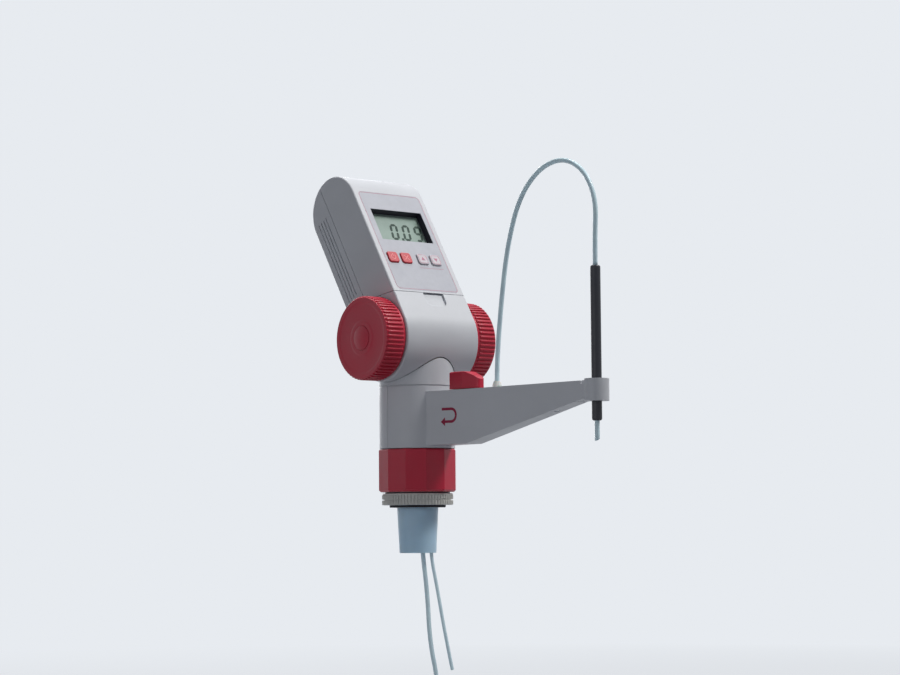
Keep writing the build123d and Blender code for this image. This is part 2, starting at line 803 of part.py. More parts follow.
sensor_low = chassis_low + chassis_floor
sensor_high = wheel_axis_z - encoder_r + sensor_reach
with BuildPart() as encoder_sensor:
    with Locations((0, 0, (sensor_low + sensor_high) / 2)):
        Box(2 * sensor_half, sensor_depth, sensor_high - sensor_low)
    with Locations((0, 0, sensor_high)):
        Box(sensor_slot, sensor_depth + 1, 2 * (sensor_reach + gap), mode=Mode.SUBTRACT)
save(encoder_sensor.part, "encoder_sensor")

shaft_end = wheel_outer - wheel_web
with BuildPart() as drive_shaft:
    with BuildSketch(shaft_plane):
        Circle(shaft_r)
    extrude(amount=shaft_end, both=True)
    chamfer(drive_shaft.edges().filter_by(GeomType.CIRCLE), shaft_bevel)
save(drive_shaft.part, "drive_shaft")

# ---------------------------------------------------------------- handwheels
with BuildPart() as wheel:
    # ribbed drum that runs out to the face, on a plain collar
    with BuildSketch(shaft_plane.offset(wheel_inner + wheel_flange)):
        Circle(wheel_r)
        with PolarLocations(wheel_r, wheel_ribs):
            Trapezoid(
                wheel_groove,
                wheel_rib_depth * 2,
                wheel_groove_angle,
                rotation=90,
                mode=Mode.SUBTRACT,
            )
    extrude(amount=wheel_width - wheel_flange)
    with BuildSketch(shaft_plane.offset(wheel_inner)):
        Circle(wheel_r - wheel_rib_depth)
    extrude(amount=wheel_flange)
    # bevel round the face and a shallow dish in it
    with BuildSketch(shaft_side):
        with BuildLine():
            Polyline(
                (wheel_outer - wheel_bevel, wheel_r + 1),
                (wheel_outer - wheel_bevel, wheel_r),
                (wheel_outer, wheel_r - wheel_bevel),
                (wheel_outer + 1, wheel_r - wheel_bevel),
                (wheel_outer + 1, wheel_r + 1),
                close=True,
            )
        make_face()
        with BuildLine():
            Polyline(
                (wheel_outer - wheel_dish, hub_cap_r + wheel_dish_margin + wheel_dish_slope),
                (wheel_outer - wheel_dish, wheel_r - wheel_dish_margin - wheel_dish_slope),
                (wheel_outer, wheel_r - wheel_dish_margin),
                (wheel_outer, hub_cap_r + wheel_dish_margin),
                close=True,
            )
        make_face()
    revolve(axis=shaft_axis, mode=Mode.SUBTRACT)
    # hollow back with a hub around the shaft
    with BuildSketch(shaft_plane.offset(wheel_inner)):
        Circle(wheel_r - wheel_rib_depth - wheel_rim)
        Circle(wheel_hub_r, mode=Mode.SUBTRACT)
    extrude(amount=wheel_width - wheel_web, mode=Mode.SUBTRACT)
    with BuildSketch(shaft_plane.offset(wheel_inner)):
        Circle(shaft_r)
    extrude(amount=shaft_end - wheel_inner, mode=Mode.SUBTRACT)
    # seat of the hub cap
    with BuildSketch(shaft_plane.offset(wheel_outer - hub_cap_seat)):
        Circle(hub_cap_r)
    extrude(amount=2 * hub_cap_seat, mode=Mode.SUBTRACT)
save(wheel.part, "handwheel_right")
save(mirror(wheel.part, about=Plane.YZ), "handwheel_left")

with BuildPart() as hub_cap:
    # a plug with a low domed face
    with BuildSketch(shaft_side):
        with BuildLine():
            Polyline(
                (wheel_outer + hub_cap_edge, hub_cap_r - fit),
                (wheel_outer - hub_cap_seat, hub_cap_r - fit),
                (wheel_outer - hub_cap_seat, 0),
                (wheel_outer + hub_cap_rise, 0),
            )
            TangentArc(
                (wheel_outer + hub_cap_rise, 0),
                (wheel_outer + hub_cap_edge, hub_cap_r - fit),
                tangent=(0, 1),
            )
        make_face()
    revolve(axis=shaft_axis)
save(hub_cap.part, "hub_cap_right")
save(mirror(hub_cap.part, about=Plane.YZ), "hub_cap_left")

# ---------------------------------------------------------------- control head
key_x = [
    key_group_offset + side_sign * (key_group_gap / 2 + inner * key_pitch)
    for side_sign, inner in ((-1, 1), (-1, 0), (1, 0), (1, 1))
]
foil_width = 2 * (head_half_width - foil_margin)
foil_mid = (foil_bottom + foil_top) / 2
window_mid = (window_low + window_high) / 2
window_height = window_high - window_low
board_front = window_depth + lcd_thickness          # below the front face
post_span_x = board_width - 2 * post_inset_x
post_span_y = board_high - board_low - 2 * post_inset_y
groove_rows = (-5.8, -8.8, -12.0, -15.2)            # out from the wheel axis, on the rear half
groove_low = 43.0
groove_high = 112.0
groove_width = 1.0
groove_depth = 0.6


def head_shell():
    """The head above the seam as one hollow shell."""
    with BuildPart() as shell:
        with BuildSketch(side.offset(-head_half_width)):
            head_outline()
        extrude(amount=2 * head_half_width)
        split(bisect_by=seam, keep=Keep.TOP)
        rims = ShapeList()
        for end in (0, -1):
            rims += shell.faces().sort_by(Axis.X)[end].edges().sort_by(Axis.Z)[1:]
        fillet(rims, edge_round)
        with BuildSketch(side.offset(-(head_half_width - wall))):
            head_outline(wall)
        extrude(amount=2 * (head_half_width - wall), mode=Mode.SUBTRACT)
    return shell.part


with BuildPart() as head_front_shell:
    add(head_shell())
    split(bisect_by=Plane(origin=wheel_centre, z_dir=head_out), keep=Keep.TOP)
    # shallow seat of the panel foil
    with BuildSketch(panel(foil_thickness)):
        with Locations((0, foil_mid)):
            RectangleRounded(foil_width, foil_top - foil_bottom, foil_corner)
    extrude(amount=2 * foil_thickness, mode=Mode.SUBTRACT)
    # posts down to the circuit board
    with BuildSketch(panel(board_front)):
        with Locations((0, (board_low + board_high) / 2)):
            with GridLocations(post_span_x, post_span_y, 2, 2):
                Circle(post_r)
    extrude(amount=board_front - wall)
    # display window and key holes
    with BuildSketch(panel(wall + 1)):
        with Locations((window_offset, window_mid)):
            Rectangle(window_width + 2 * bezel_wall + 2 * fit, window_height + 2 * bezel_wall + 2 * fit)
        with Locations(*[(x, key_row) for x in key_x]):
            RectangleRounded(key_width + 2 * gap, key_height + 2 * gap, key_corner + gap)
    extrude(amount=wall + 2, mode=Mode.SUBTRACT)
save(head_front_shell.part, "head_front_shell")

with BuildPart() as panel_foil:
    with BuildSketch(panel(foil_thickness)):
        with Locations((0, foil_mid)):
            RectangleRounded(foil_width - 2 * fit, foil_top - foil_bottom - 2 * fit, foil_corner)
        with Locations((window_offset, window_mid)):
            Rectangle(window_width, window_height, mode=Mode.SUBTRACT)
        with Locations(*[(x, key_row) for x in key_x]):
            RectangleRounded(key_width + 2 * gap, key_height + 2 * gap, key_corner + gap, mode=Mode.SUBTRACT)
    extrude(amount=foil_thickness)
save(panel_foil.part, "panel_foil")

with BuildPart() as display_bezel:
    with BuildSketch(panel(window_depth)):
        with Locations((window_offset, window_mid)):
            Rectangle(window_width + 2 * bezel_wall, window_height + 2 * bezel_wall)
            Rectangle(window_width, window_height, mode=Mode.SUBTRACT)
    extrude(amount=window_depth - foil_thickness)
save(display_bezel.part, "display_bezel")

with BuildPart() as lcd_module:
    with BuildSketch(panel(board_front)):
        with Locations((window_offset, window_mid)):
            Rectangle(window_width + 2 * bezel_wall, window_height + 2 * bezel_wall)
    extrude(amount=lcd_thickness)
save(lcd_module.part, "lcd_module")

with BuildPart() as circuit_board:
    with BuildSketch(panel(board_front + board_thickness)):
        with Locations((0, (board_low + board_high) / 2)):
            RectangleRounded(board_width, board_high - board_low, board_corner)
    extrude(amount=board_thickness)
    # the four key switches
    with BuildSketch(panel(board_front)):
        with Locations(*[(x, key_row) for x in key_x]):
            Rectangle(switch_size, switch_size)
    extrude(amount=switch_height)
save(circuit_board.part, "circuit_board")

key_flange_depth = wall + gap + key_travel
key_foot = board_front - switch_height - key_travel - key_stem_gap      # of the stem, below the face
for name, x in zip(("power", "clear", "up", "down"), key_x):
    with BuildPart() as key:
        with BuildSketch(panel(key_flange_depth)):
            with Locations((x, key_row)):
                RectangleRounded(key_width, key_height, key_corner)
        extrude(amount=key_flange_depth + key_rise)
        fillet(key.faces().sort_by(Axis(wheel_centre, head_out))[-1].edges(), key_edge)
        with BuildSketch(panel(key_flange_depth + key_flange_thickness)):
            with Locations((x, key_row)):
                RectangleRounded(key_width + 2 * key_flange, key_height + 2 * key_flange, key_corner)
        extrude(amount=key_flange_thickness)
        with BuildSketch(panel(key_foot)):
            with Locations((x, key_row)):
                Circle(key_stem_r)
        extrude(amount=key_foot - key_flange_depth)
    save(key.part, f"key_{name}")

# ---------------------------------------------------------------- rear shell and batteries
door_low = 58.0
door_high = 100.0
door_half = 24.0
door_thickness = 2.0
door_corner = 2.2
back_face = 2 * head_top_r              # depth of the back face below the front face
head_rim = head_length + sqrt(head_top_r**2 - head_mid**2)      # round top where the shells meet
cell_r = 5.25
cell_length = 44.5
cell_pitch = 12.0
cell_terminal_r = 1.9
cell_terminal = 1.0
cell_door_gap = 1.0
tray_wall = 1.2
tray_leg_r = 2.4
tray_leg_inset_x = 4.0
tray_leg_inset_y = 3.0
grip_rise = 9.0             # ribbed patch above the door's lower edge
grip_pitch = 2.4
grip_width = 20.0
grip_groove = 1.0
grip_depth = 0.5

with BuildPart() as head_rear_shell:
    add(head_shell())
    split(bisect_by=Plane(origin=wheel_centre, z_dir=head_out), keep=Keep.BOTTOM)
    # long grip grooves down both sides
    for end in (-head_half_width, head_half_width):
        with BuildSketch(side.offset(end)):
            with Locations(*[((groove_low + groove_high) / 2, row) for row in groove_rows]):
                Rectangle(groove_high - groove_low, groove_width)
        extrude(amount=groove_depth, both=True, mode=Mode.SUBTRACT)
    # opening for the battery door
    with BuildSketch(panel(back_face - wall - 1)):
        with Locations((0, (door_low + door_high) / 2)):
            RectangleRounded(2 * (door_half + gap), door_high - door_low + 2 * gap, door_corner + gap)
    extrude(amount=-(wall + 2), mode=Mode.SUBTRACT)
    # parting line round the edge that meets the front shell
    with BuildSketch(panel(barrel_r + parting_width)):
        Rectangle(4 * head_half_width, 2 * (head_length + head_top_r))
        Rectangle(2 * (head_half_width - parting_depth), 2 * (head_rim - parting_depth), mode=Mode.SUBTRACT)
    extrude(amount=parting_width, mode=Mode.SUBTRACT)
    # screw recesses in the four corners of the back
    with BuildSketch(panel(back_face - screw_recess)):
        with Locations((0, (head_screw_low + head_screw_high) / 2)):
            with GridLocations(2 * head_screw_x, head_screw_high - head_screw_low, 2, 2):
                Circle(screw_recess_r)
    extrude(amount=-2 * screw_recess, mode=Mode.SUBTRACT)
save(head_rear_shell.part, "head_rear_shell")

with BuildPart() as battery_door:
    with BuildSketch(panel(back_face)):
        with Locations((0, (door_low + door_high) / 2)):
            RectangleRounded(2 * door_half, door_high - door_low, door_corner)
    extrude(amount=door_thickness)
    # ribbed thumb patch near the lower edge
    with BuildSketch(panel(back_face)):
        with Locations((0, door_low + grip_rise)):
            with GridLocations(grip_width, grip_pitch, 1, 4):
                Rectangle(grip_width, grip_groove)
    extrude(amount=grip_depth, mode=Mode.SUBTRACT)
save(battery_door.part, "battery_door")

leg_span_x = cell_length - 2 * tray_leg_inset_x
leg_span_y = 2 * (cell_pitch - tray_leg_inset_y)
tray_depth = back_face - door_thickness - cell_door_gap - 2 * cell_r - tray_wall
with BuildPart() as battery_tray:
    with BuildSketch(panel(tray_depth + tray_wall + 2 * cell_r)):
        with Locations((0, (door_low + door_high) / 2)):
            Rectangle(cell_length + 4 * tray_wall, 2 * cell_pitch + 2 * tray_wall)
            Rectangle(cell_length + 2 * tray_wall, 2 * cell_pitch, mode=Mode.SUBTRACT)
    extrude(amount=2 * cell_r)
    with BuildSketch(panel(tray_depth + tray_wall)):
        with Locations((0, (door_low + door_high) / 2)):
            Rectangle(cell_length + 4 * tray_wall, 2 * cell_pitch + 2 * tray_wall)
    extrude(amount=tray_wall)
    # legs to the circuit board
    with BuildSketch(panel(tray_depth)):
        with Locations((0, (door_low + door_high) / 2)):
            with GridLocations(leg_span_x, leg_span_y, 2, 2):
                Circle(tray_leg_r)
    extrude(amount=tray_depth - board_front - board_thickness)
save(battery_tray.part, "battery_tray")

for number, offset in ((1, -cell_pitch / 2), (2, cell_pitch / 2)):
    with BuildPart() as battery:
        centre = wheel_centre + head_out * (barrel_r - tray_depth - tray_wall - cell_r - fit)
        centre += head_up * ((door_low + door_high) / 2 + offset)
        with BuildSketch(Plane(origin=centre - Vector(cell_length / 2, 0, 0), z_dir=(1, 0, 0))):
            Circle(cell_r - fit)
        extrude(amount=cell_length - cell_terminal)
        cap_start = centre + Vector(cell_length / 2 - cell_terminal, 0, 0)
        with BuildSketch(Plane(origin=cap_start, z_dir=(1, 0, 0))):
            Circle(cell_terminal_r)
        extrude(amount=cell_terminal)
    save(battery.part, f"battery_{number}")
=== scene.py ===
"""Bottle top burette: ribbed handwheels, a tilted control head with a display, and an arm with an arched tube.

Laid out as a Blender add-on and run as a script. All lengths in the code are metres, in the frame of the
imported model: +Z up along the bottle's axis, the control panel and the arm towards -Y.
"""

import math

import bmesh
import bpy
from mathutils import Matrix, Vector


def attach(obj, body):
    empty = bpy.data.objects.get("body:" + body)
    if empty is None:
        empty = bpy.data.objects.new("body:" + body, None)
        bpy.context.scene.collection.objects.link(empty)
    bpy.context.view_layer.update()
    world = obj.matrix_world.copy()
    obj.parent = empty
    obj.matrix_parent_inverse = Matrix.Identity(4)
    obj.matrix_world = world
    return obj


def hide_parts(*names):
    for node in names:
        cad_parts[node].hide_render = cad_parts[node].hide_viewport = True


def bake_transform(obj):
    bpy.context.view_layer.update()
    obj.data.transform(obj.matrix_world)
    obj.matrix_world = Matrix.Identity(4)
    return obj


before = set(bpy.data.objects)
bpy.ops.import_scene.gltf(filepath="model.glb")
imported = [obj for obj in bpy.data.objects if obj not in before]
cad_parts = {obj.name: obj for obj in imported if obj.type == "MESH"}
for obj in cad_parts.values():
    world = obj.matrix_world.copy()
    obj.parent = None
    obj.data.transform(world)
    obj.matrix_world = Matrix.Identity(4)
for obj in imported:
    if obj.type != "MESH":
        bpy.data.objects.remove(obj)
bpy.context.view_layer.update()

bl_info = {
    "name": "Bottle Top Burette",
    "version": (1, 0, 0),
    "blender": (4, 5, 0),
    "location": "View3D > Sidebar > Burette",
    "description": "Dresses the packed burette with wheels, tubes, panel artwork and finishes",
    "category": "Object",
}

MM = 0.001
DOUBLES = 1e-7                       # vertices nearer than this are merged
BACKGROUND = (0.80, 0.83, 0.87, 1.0)
FLOOR_TONES = (0.53, 0.54, 0.56, 1.0), (0.55, 0.56, 0.58, 1.0)
FLOOR_BOUNCE = (0.28, 0.29, 0.31, 1.0)   # the floor's colour for the light that it throws back

# ---------------------------------------------------------------- places taken from the model
WHEEL_CENTRE = Vector((0.0, 0.0, 118.0)) * MM
WHEEL_RADIUS = 29.5 * MM             # over the grip ribs
HEAD_TILT = math.radians(31.5)
HEAD_UP = Vector((0.0, math.sin(HEAD_TILT), math.cos(HEAD_TILT)))
HEAD_OUT = Vector((0.0, -math.cos(HEAD_TILT), math.sin(HEAD_TILT)))
FACE = 30.0 * MM                     # front face, out from the wheel axis
KEY_ROW = 50.6 * MM
KEY_RISE = 1.2 * MM
KEY_X = {"key_power": -20.7, "key_clear": -8.7, "key_up": 6.3, "key_down": 18.3}
ARM_ROOT = (12.3, -21.4)             # half width and y of the arm's plan, in millimetres
ARM_MIDDLE = (9.3, -38.0)
ARM_FLARE_END = (7.5, -62.0)

# Routes of the three tubes, as the model has them
DISPENSING_ROUTE = [
    (0, -86, 82.2), (0, -86, 99), (0, -91.8, 144), (0, -98.3, 178), (0, -110.4, 208.8), (0, -131, 226.8),
    (0, -155.2, 230.8), (0, -175.2, 219.8), (0, -185.6, 199), (0, -184, 176), (0, -184, 156.1),
]
SUCTION_ROUTE = [
    (0.6, -3.2, 2), (0.6, -3.2, -26), (3.4, -6, -60), (3.4, -8.2, -94), (8.4, -11.6, -124), (9.6, -12.6, -158),
]
RETURN_ROUTE = [
    (5, -6.8, 2), (5, -6.8, -29), (8.6, -11, -58), (11, -15.2, -86), (15.8, -18, -114),
]


# ---------------------------------------------------------------- settings
class BURETTE_PG_sizes(bpy.types.PropertyGroup):
    """Sizes and counts of the pieces that this script makes"""

    rib_count: bpy.props.IntProperty(
        name="Wheel ribs", description="Number of grip ribs on each handwheel", default=60, min=12, max=120
    )
    rib_height: bpy.props.FloatProperty(
        name="Rib height", description="How far a wheel rib stands out", default=1.1 * MM, unit="LENGTH"
    )
    rib_width: bpy.props.FloatProperty(
        name="Rib width", description="Width of a wheel rib at its foot", default=1.75 * MM, unit="LENGTH"
    )
    tooth_count: bpy.props.IntProperty(
        name="Ring teeth", description="Number of teeth around the fluted ring", default=66, min=12, max=120
    )
    digit_height: bpy.props.FloatProperty(
        name="Digit height", description="Height of the digits on the display", default=14.6 * MM, unit="LENGTH"
    )
    digit_pitch: bpy.props.FloatProperty(
        name="Digit pitch", description="Distance from one digit to the next", default=11.0 * MM, unit="LENGTH"
    )
    tube_wall: bpy.props.FloatProperty(
        name="Tube wall", description="Wall thickness of the dispensing tube", default=0.7 * MM, unit="LENGTH"
    )


class BURETTE_PG_colours(bpy.types.PropertyGroup):
    """Colours of the main finishes"""

    housing: bpy.props.FloatVectorProperty(
        name="Housing", description="Light grey moulding of the housing", default=(0.55, 0.565, 0.60, 1.0),
        size=4, subtype="COLOR"
    )
    red: bpy.props.FloatVectorProperty(
        name="Red mouldings", description="Handwheels, lever and coupling nut", default=(0.48, 0.012, 0.040, 1.0),
        size=4, subtype="COLOR"
    )
    black: bpy.props.FloatVectorProperty(
        name="Black mouldings", description="Spout sleeve and display frame", default=(0.014, 0.015, 0.022, 1.0),
        size=4, subtype="COLOR"
    )
    panel: bpy.props.FloatVectorProperty(
        name="Panel", description="Printed membrane of the control panel", default=(0.37, 0.38, 0.43, 1.0),
        size=4, subtype="COLOR"
    )
    display: bpy.props.FloatVectorProperty(
        name="Display", description="Background of the liquid crystal display", default=(0.30, 0.40, 0.35, 1.0),
        size=4, subtype="COLOR"
    )
    key_red: bpy.props.FloatVectorProperty(
        name="Red keys", description="The two coloured keys", default=(0.50, 0.022, 0.038, 1.0),
        size=4, subtype="COLOR"
    )
    mark: bpy.props.FloatVectorProperty(
        name="Marks", description="Printed arrow on the arm", default=(0.24, 0.012, 0.045, 1.0),
        size=4, subtype="COLOR"
    )


# ---------------------------------------------------------------- mesh helpers
def on_panel(x, rise, lift=0.0):
    """A point of the head's front face: across, up the head from the wheel axis, and out of the face."""
    return WHEEL_CENTRE + Vector((x, 0, 0)) + HEAD_UP * rise + HEAD_OUT * (FACE + lift)


def arm_half_width(y):
    """Half the arm's width on its flared root, on the circle through three points of its plan; y in metres."""
    a, b, c = (Vector((y_mm, half)) for half, y_mm in (ARM_ROOT, ARM_MIDDLE, ARM_FLARE_END))
    d = 2 * (a.x * (b.y - c.y) + b.x * (c.y - a.y) + c.x * (a.y - b.y))
    ux = (a.length_squared * (b.y - c.y) + b.length_squared * (c.y - a.y) + c.length_squared * (a.y - b.y)) / d
    uy = (a.length_squared * (c.x - b.x) + b.length_squared * (a.x - c.x) + c.length_squared * (b.x - a.x)) / d
    centre = Vector((ux, uy))
    radius = (a - centre).length
    side = math.sqrt(radius**2 - (y / MM - centre.x) ** 2)
    return (centre.y - side if centre.y > a.y else centre.y + side) * MM


def mesh_piece(name, vertices, faces, smooth=False):
    """An object with its mesh, in the scene."""
    mesh = bpy.data.meshes.new(name)
    mesh.from_pydata([tuple(v) for v in vertices], [], faces)
    mesh.validate()
    if smooth:
        mesh.shade_smooth()
    piece = bpy.data.objects.new(name, mesh)
    bpy.context.scene.collection.objects.link(piece)
    return piece


def quads(low, high, count, closed=True):
    """Faces between two rows of count vertices each, numbered from low and from high."""
    steps = [(i, (i + 1) % count) for i in range(count if closed else count - 1)]
    return [(low + i, low + j, high + j, high + i) for i, j in steps]


def solid_piece(name, vertices, faces, material=None, smooth=False):
    """A mesh piece with doubles merged and all faces turned outwards."""
    piece = mesh_piece(name, vertices, faces, smooth)
    shape = bmesh.new()
    shape.from_mesh(piece.data)
    bmesh.ops.remove_doubles(shape, verts=shape.verts, dist=DOUBLES)
    bmesh.ops.recalc_face_normals(shape, faces=shape.faces)
    shape.to_mesh(piece.data)
    shape.free()
    if material:
        piece.data.materials.append(material)
    return piece


def evaluated_mesh(piece):
    """A new mesh of the piece as its modifiers or its curve settings shape it."""
    bpy.context.view_layer.update()
    graph = bpy.context.evaluated_depsgraph_get()
    return bpy.data.meshes.new_from_object(piece.evaluated_get(graph), depsgraph=graph)


def lathe(name, profile, segments, material):
    """A closed profile of (radius, height) turned around the Z axis."""
    vertices = []
    for step in range(segments):
        turn = 2 * math.pi * step / segments
        for radius, height in profile:
            vertices.append((radius * math.cos(turn), radius * math.sin(turn), height))
    count = len(profile)
    faces = []
    for step in range(segments):
        faces += quads(step * count, (step + 1) % segments * count, count)
    return solid_piece(name, vertices, faces, material)


def plate(name, outlines, place, thickness, material):
    """Flat marks: each outline is a closed polygon of (u, v), and place(u, v, lift) puts it on its surface."""
    vertices, faces = [], []
    for outline in outlines:
        base, count = len(vertices), len(outline)
        vertices += [place(u, v, -thickness / 2) for u, v in outline]
        vertices += [place(u, v, thickness / 2) for u, v in outline]
        faces.append(tuple(range(base, base + count)))
        faces.append(tuple(range(base + 2 * count - 1, base + count - 1, -1)))
        faces += quads(base, base + count, count)
    return solid_piece(name, vertices, faces, material)


def band(path, width, closed=False):
    """Short quadrilaterals along a path of (u, v), mitred where the path turns."""
    points = [Vector(p) for p in path]
    count = len(points)
    left, right = [], []
    for i, here in enumerate(points):
        before = points[i - 1] if (closed or i) else here
        after = points[(i + 1) % count] if (closed or i < count - 1) else here
        into = (here - before).normalized() if before != here else (after - here).normalized()
        out = (after - here).normalized() if after != here else into
        along = (into + out).normalized()
        across = Vector((-along.y, along.x))
        reach = width / 2 / max(0.5, across.dot(Vector((-into.y, into.x))))
        left.append(here + across * reach)
        right.append(here - across * reach)
    spans = count if closed else count - 1
    pieces = []
    for i in range(spans):
        j = (i + 1) % count
        pieces.append([tuple(left[i]), tuple(left[j]), tuple(right[j]), tuple(right[i])])
    return pieces


def swept_rib(name, section, stations, smooth=False):
    """A closed rib along Z, standing out along X: section holds (across, out), and each station its height and
    the share of the section's outward reach there."""
    vertices = [(out * (share if out > 0 else 1.0), across, z) for z, share in stations for across, out in section]
    count = len(section)
    faces = [tuple(range(count)), tuple(range(len(vertices) - 1, len(vertices) - count - 1, -1))]
    for low in range(0, len(vertices) - count, count):
        faces += quads(low, low + count, count, closed=False)
    return solid_piece(name, vertices, faces, smooth=smooth)


def arc(centre, radius, start, stop, steps):
    """Points of an arc, angles in degrees."""
    turns = [math.radians(start + (stop - start) * i / steps) for i in range(steps + 1)]
    return [(centre[0] + radius * math.cos(t), centre[1] + radius * math.sin(t)) for t in turns]


def rounded_rectangle(half_wide, low, high, corner, steps=5):
    """Closed path round a rectangle with rounded corners, centred across."""
    far, lower, upper = half_wide - corner, low + corner, high - corner
    path = []
    for quarter, centre in enumerate(((far, lower), (far, upper), (-far, upper), (-far, lower))):
        path += arc(centre, corner, 90 * quarter - 90, 90 * quarter, steps)
    return path


# ---------------------------------------------------------------- geometry nodes
def new_tree(name, inputs, output):
    """An empty node tree with its named inputs and one geometry output."""
    tree = bpy.data.node_groups.new(name, "GeometryNodeTree")
    for label, kind in inputs:
        tree.interface.new_socket(label, in_out="INPUT", socket_type="NodeSocket" + kind)
    tree.interface.new_socket(output, in_out="OUTPUT", socket_type="NodeSocketGeometry")
    return tree


def stand_on_points(tree, given, points, piece, axis, angle):
    """Sets the piece of an object input on every point, turned by an angle about one axis."""
    new, link = tree.nodes.new, tree.links.new
    angles = new("ShaderNodeCombineXYZ")
    link(angle, angles.inputs[axis])
    euler = new("FunctionNodeEulerToRotation")
    link(angles.outputs["Vector"], euler.inputs["Euler"])
    info = new("GeometryNodeObjectInfo")
    link(given.outputs[piece], info.inputs["Object"])
    stand = new("GeometryNodeInstanceOnPoints")
    link(points, stand.inputs["Points"])
    link(info.outputs["Geometry"], stand.inputs["Instance"])
    link(euler.outputs["Rotation"], stand.inputs["Rotation"])
    return stand.outputs["Instances"]


def end_tree(tree, given, geometry, output):
    """Makes the instances real, gives all the tree's material and passes it on."""
    new, link = tree.nodes.new, tree.links.new
    real = new("GeometryNodeRealizeInstances")
    link(geometry, real.inputs["Geometry"])
    finish = new("GeometryNodeSetMaterial")
    link(real.outputs["Geometry"], finish.inputs["Geometry"])
    link(given.outputs["Finish"], finish.inputs["Material"])
    result = new("NodeGroupOutput")
    link(finish.outputs["Geometry"], result.inputs[output])
    return tree


def ring_tree():
    """Repeats one object around the Z axis and joins the ring to the body it stands on."""
    name = "Ring of ribs"
    tree = bpy.data.node_groups.get(name)
    if tree:
        return tree
    inputs = (("Body", "Geometry"), ("Rib", "Object"), ("Count", "Int"), ("Radius", "Float"), ("Finish", "Material"))
    tree = new_tree(name, inputs, "Ribbed body")
    new, link = tree.nodes.new, tree.links.new
    given = new("NodeGroupInput")
    circle = new("GeometryNodeMeshCircle")
    link(given.outputs["Count"], circle.inputs["Vertices"])
    link(given.outputs["Radius"], circle.inputs["Radius"])
    index = new("GeometryNodeInputIndex")
    share = new("ShaderNodeMath")
    share.operation = "DIVIDE"
    link(index.outputs["Index"], share.inputs[0])
    link(given.outputs["Count"], share.inputs[1])
    turn = new("ShaderNodeMath")
    turn.operation = "MULTIPLY"
    turn.inputs[1].default_value = 2 * math.pi
    link(share.outputs[0], turn.inputs[0])
    ribs = stand_on_points(tree, given, circle.outputs["Mesh"], "Rib", "Z", turn.outputs[0])
    join = new("GeometryNodeJoinGeometry")
    link(ribs, join.inputs["Geometry"])
    link(given.outputs["Body"], join.inputs["Geometry"])
    return end_tree(tree, given, join.outputs["Geometry"], "Ribbed body")


def add_ring(body, rib, count, radius, material):
    """Gives body a ring of ribs. The rib is used up."""
    use_tree(body, ring_tree(), {"Rib": rib, "Count": count, "Radius": radius, "Finish": material})
    bpy.data.objects.remove(rib)


def screw_tree():
    """Sets one object on every point of a mesh, all turned alike."""
    name = "Screws on points"
    tree = bpy.data.node_groups.get(name)
    if tree:
        return tree
    inputs = (("Places", "Geometry"), ("Screw", "Object"), ("Tilt", "Float"), ("Finish", "Material"))
    tree = new_tree(name, inputs, "Screws")
    given = tree.nodes.new("NodeGroupInput")
    screws = stand_on_points(tree, given, given.outputs["Places"], "Screw", "X", given.outputs["Tilt"])
    return end_tree(tree, given, screws, "Screws")


def use_tree(piece, tree, values):
    """Runs a node tree on the piece with its named inputs set, and makes the outcome its plain mesh."""
    modifier = piece.modifiers.new("repeats", "NODES")
    modifier.node_group = tree
    for item in tree.interface.items_tree:
        if item.item_type == "SOCKET" and item.in_out == "INPUT" and item.name in values:
            modifier[item.identifier] = values[item.name]
    mesh = evaluated_mesh(piece)
    piece.modifiers.clear()
    piece.data = mesh
    mesh.name = piece.name


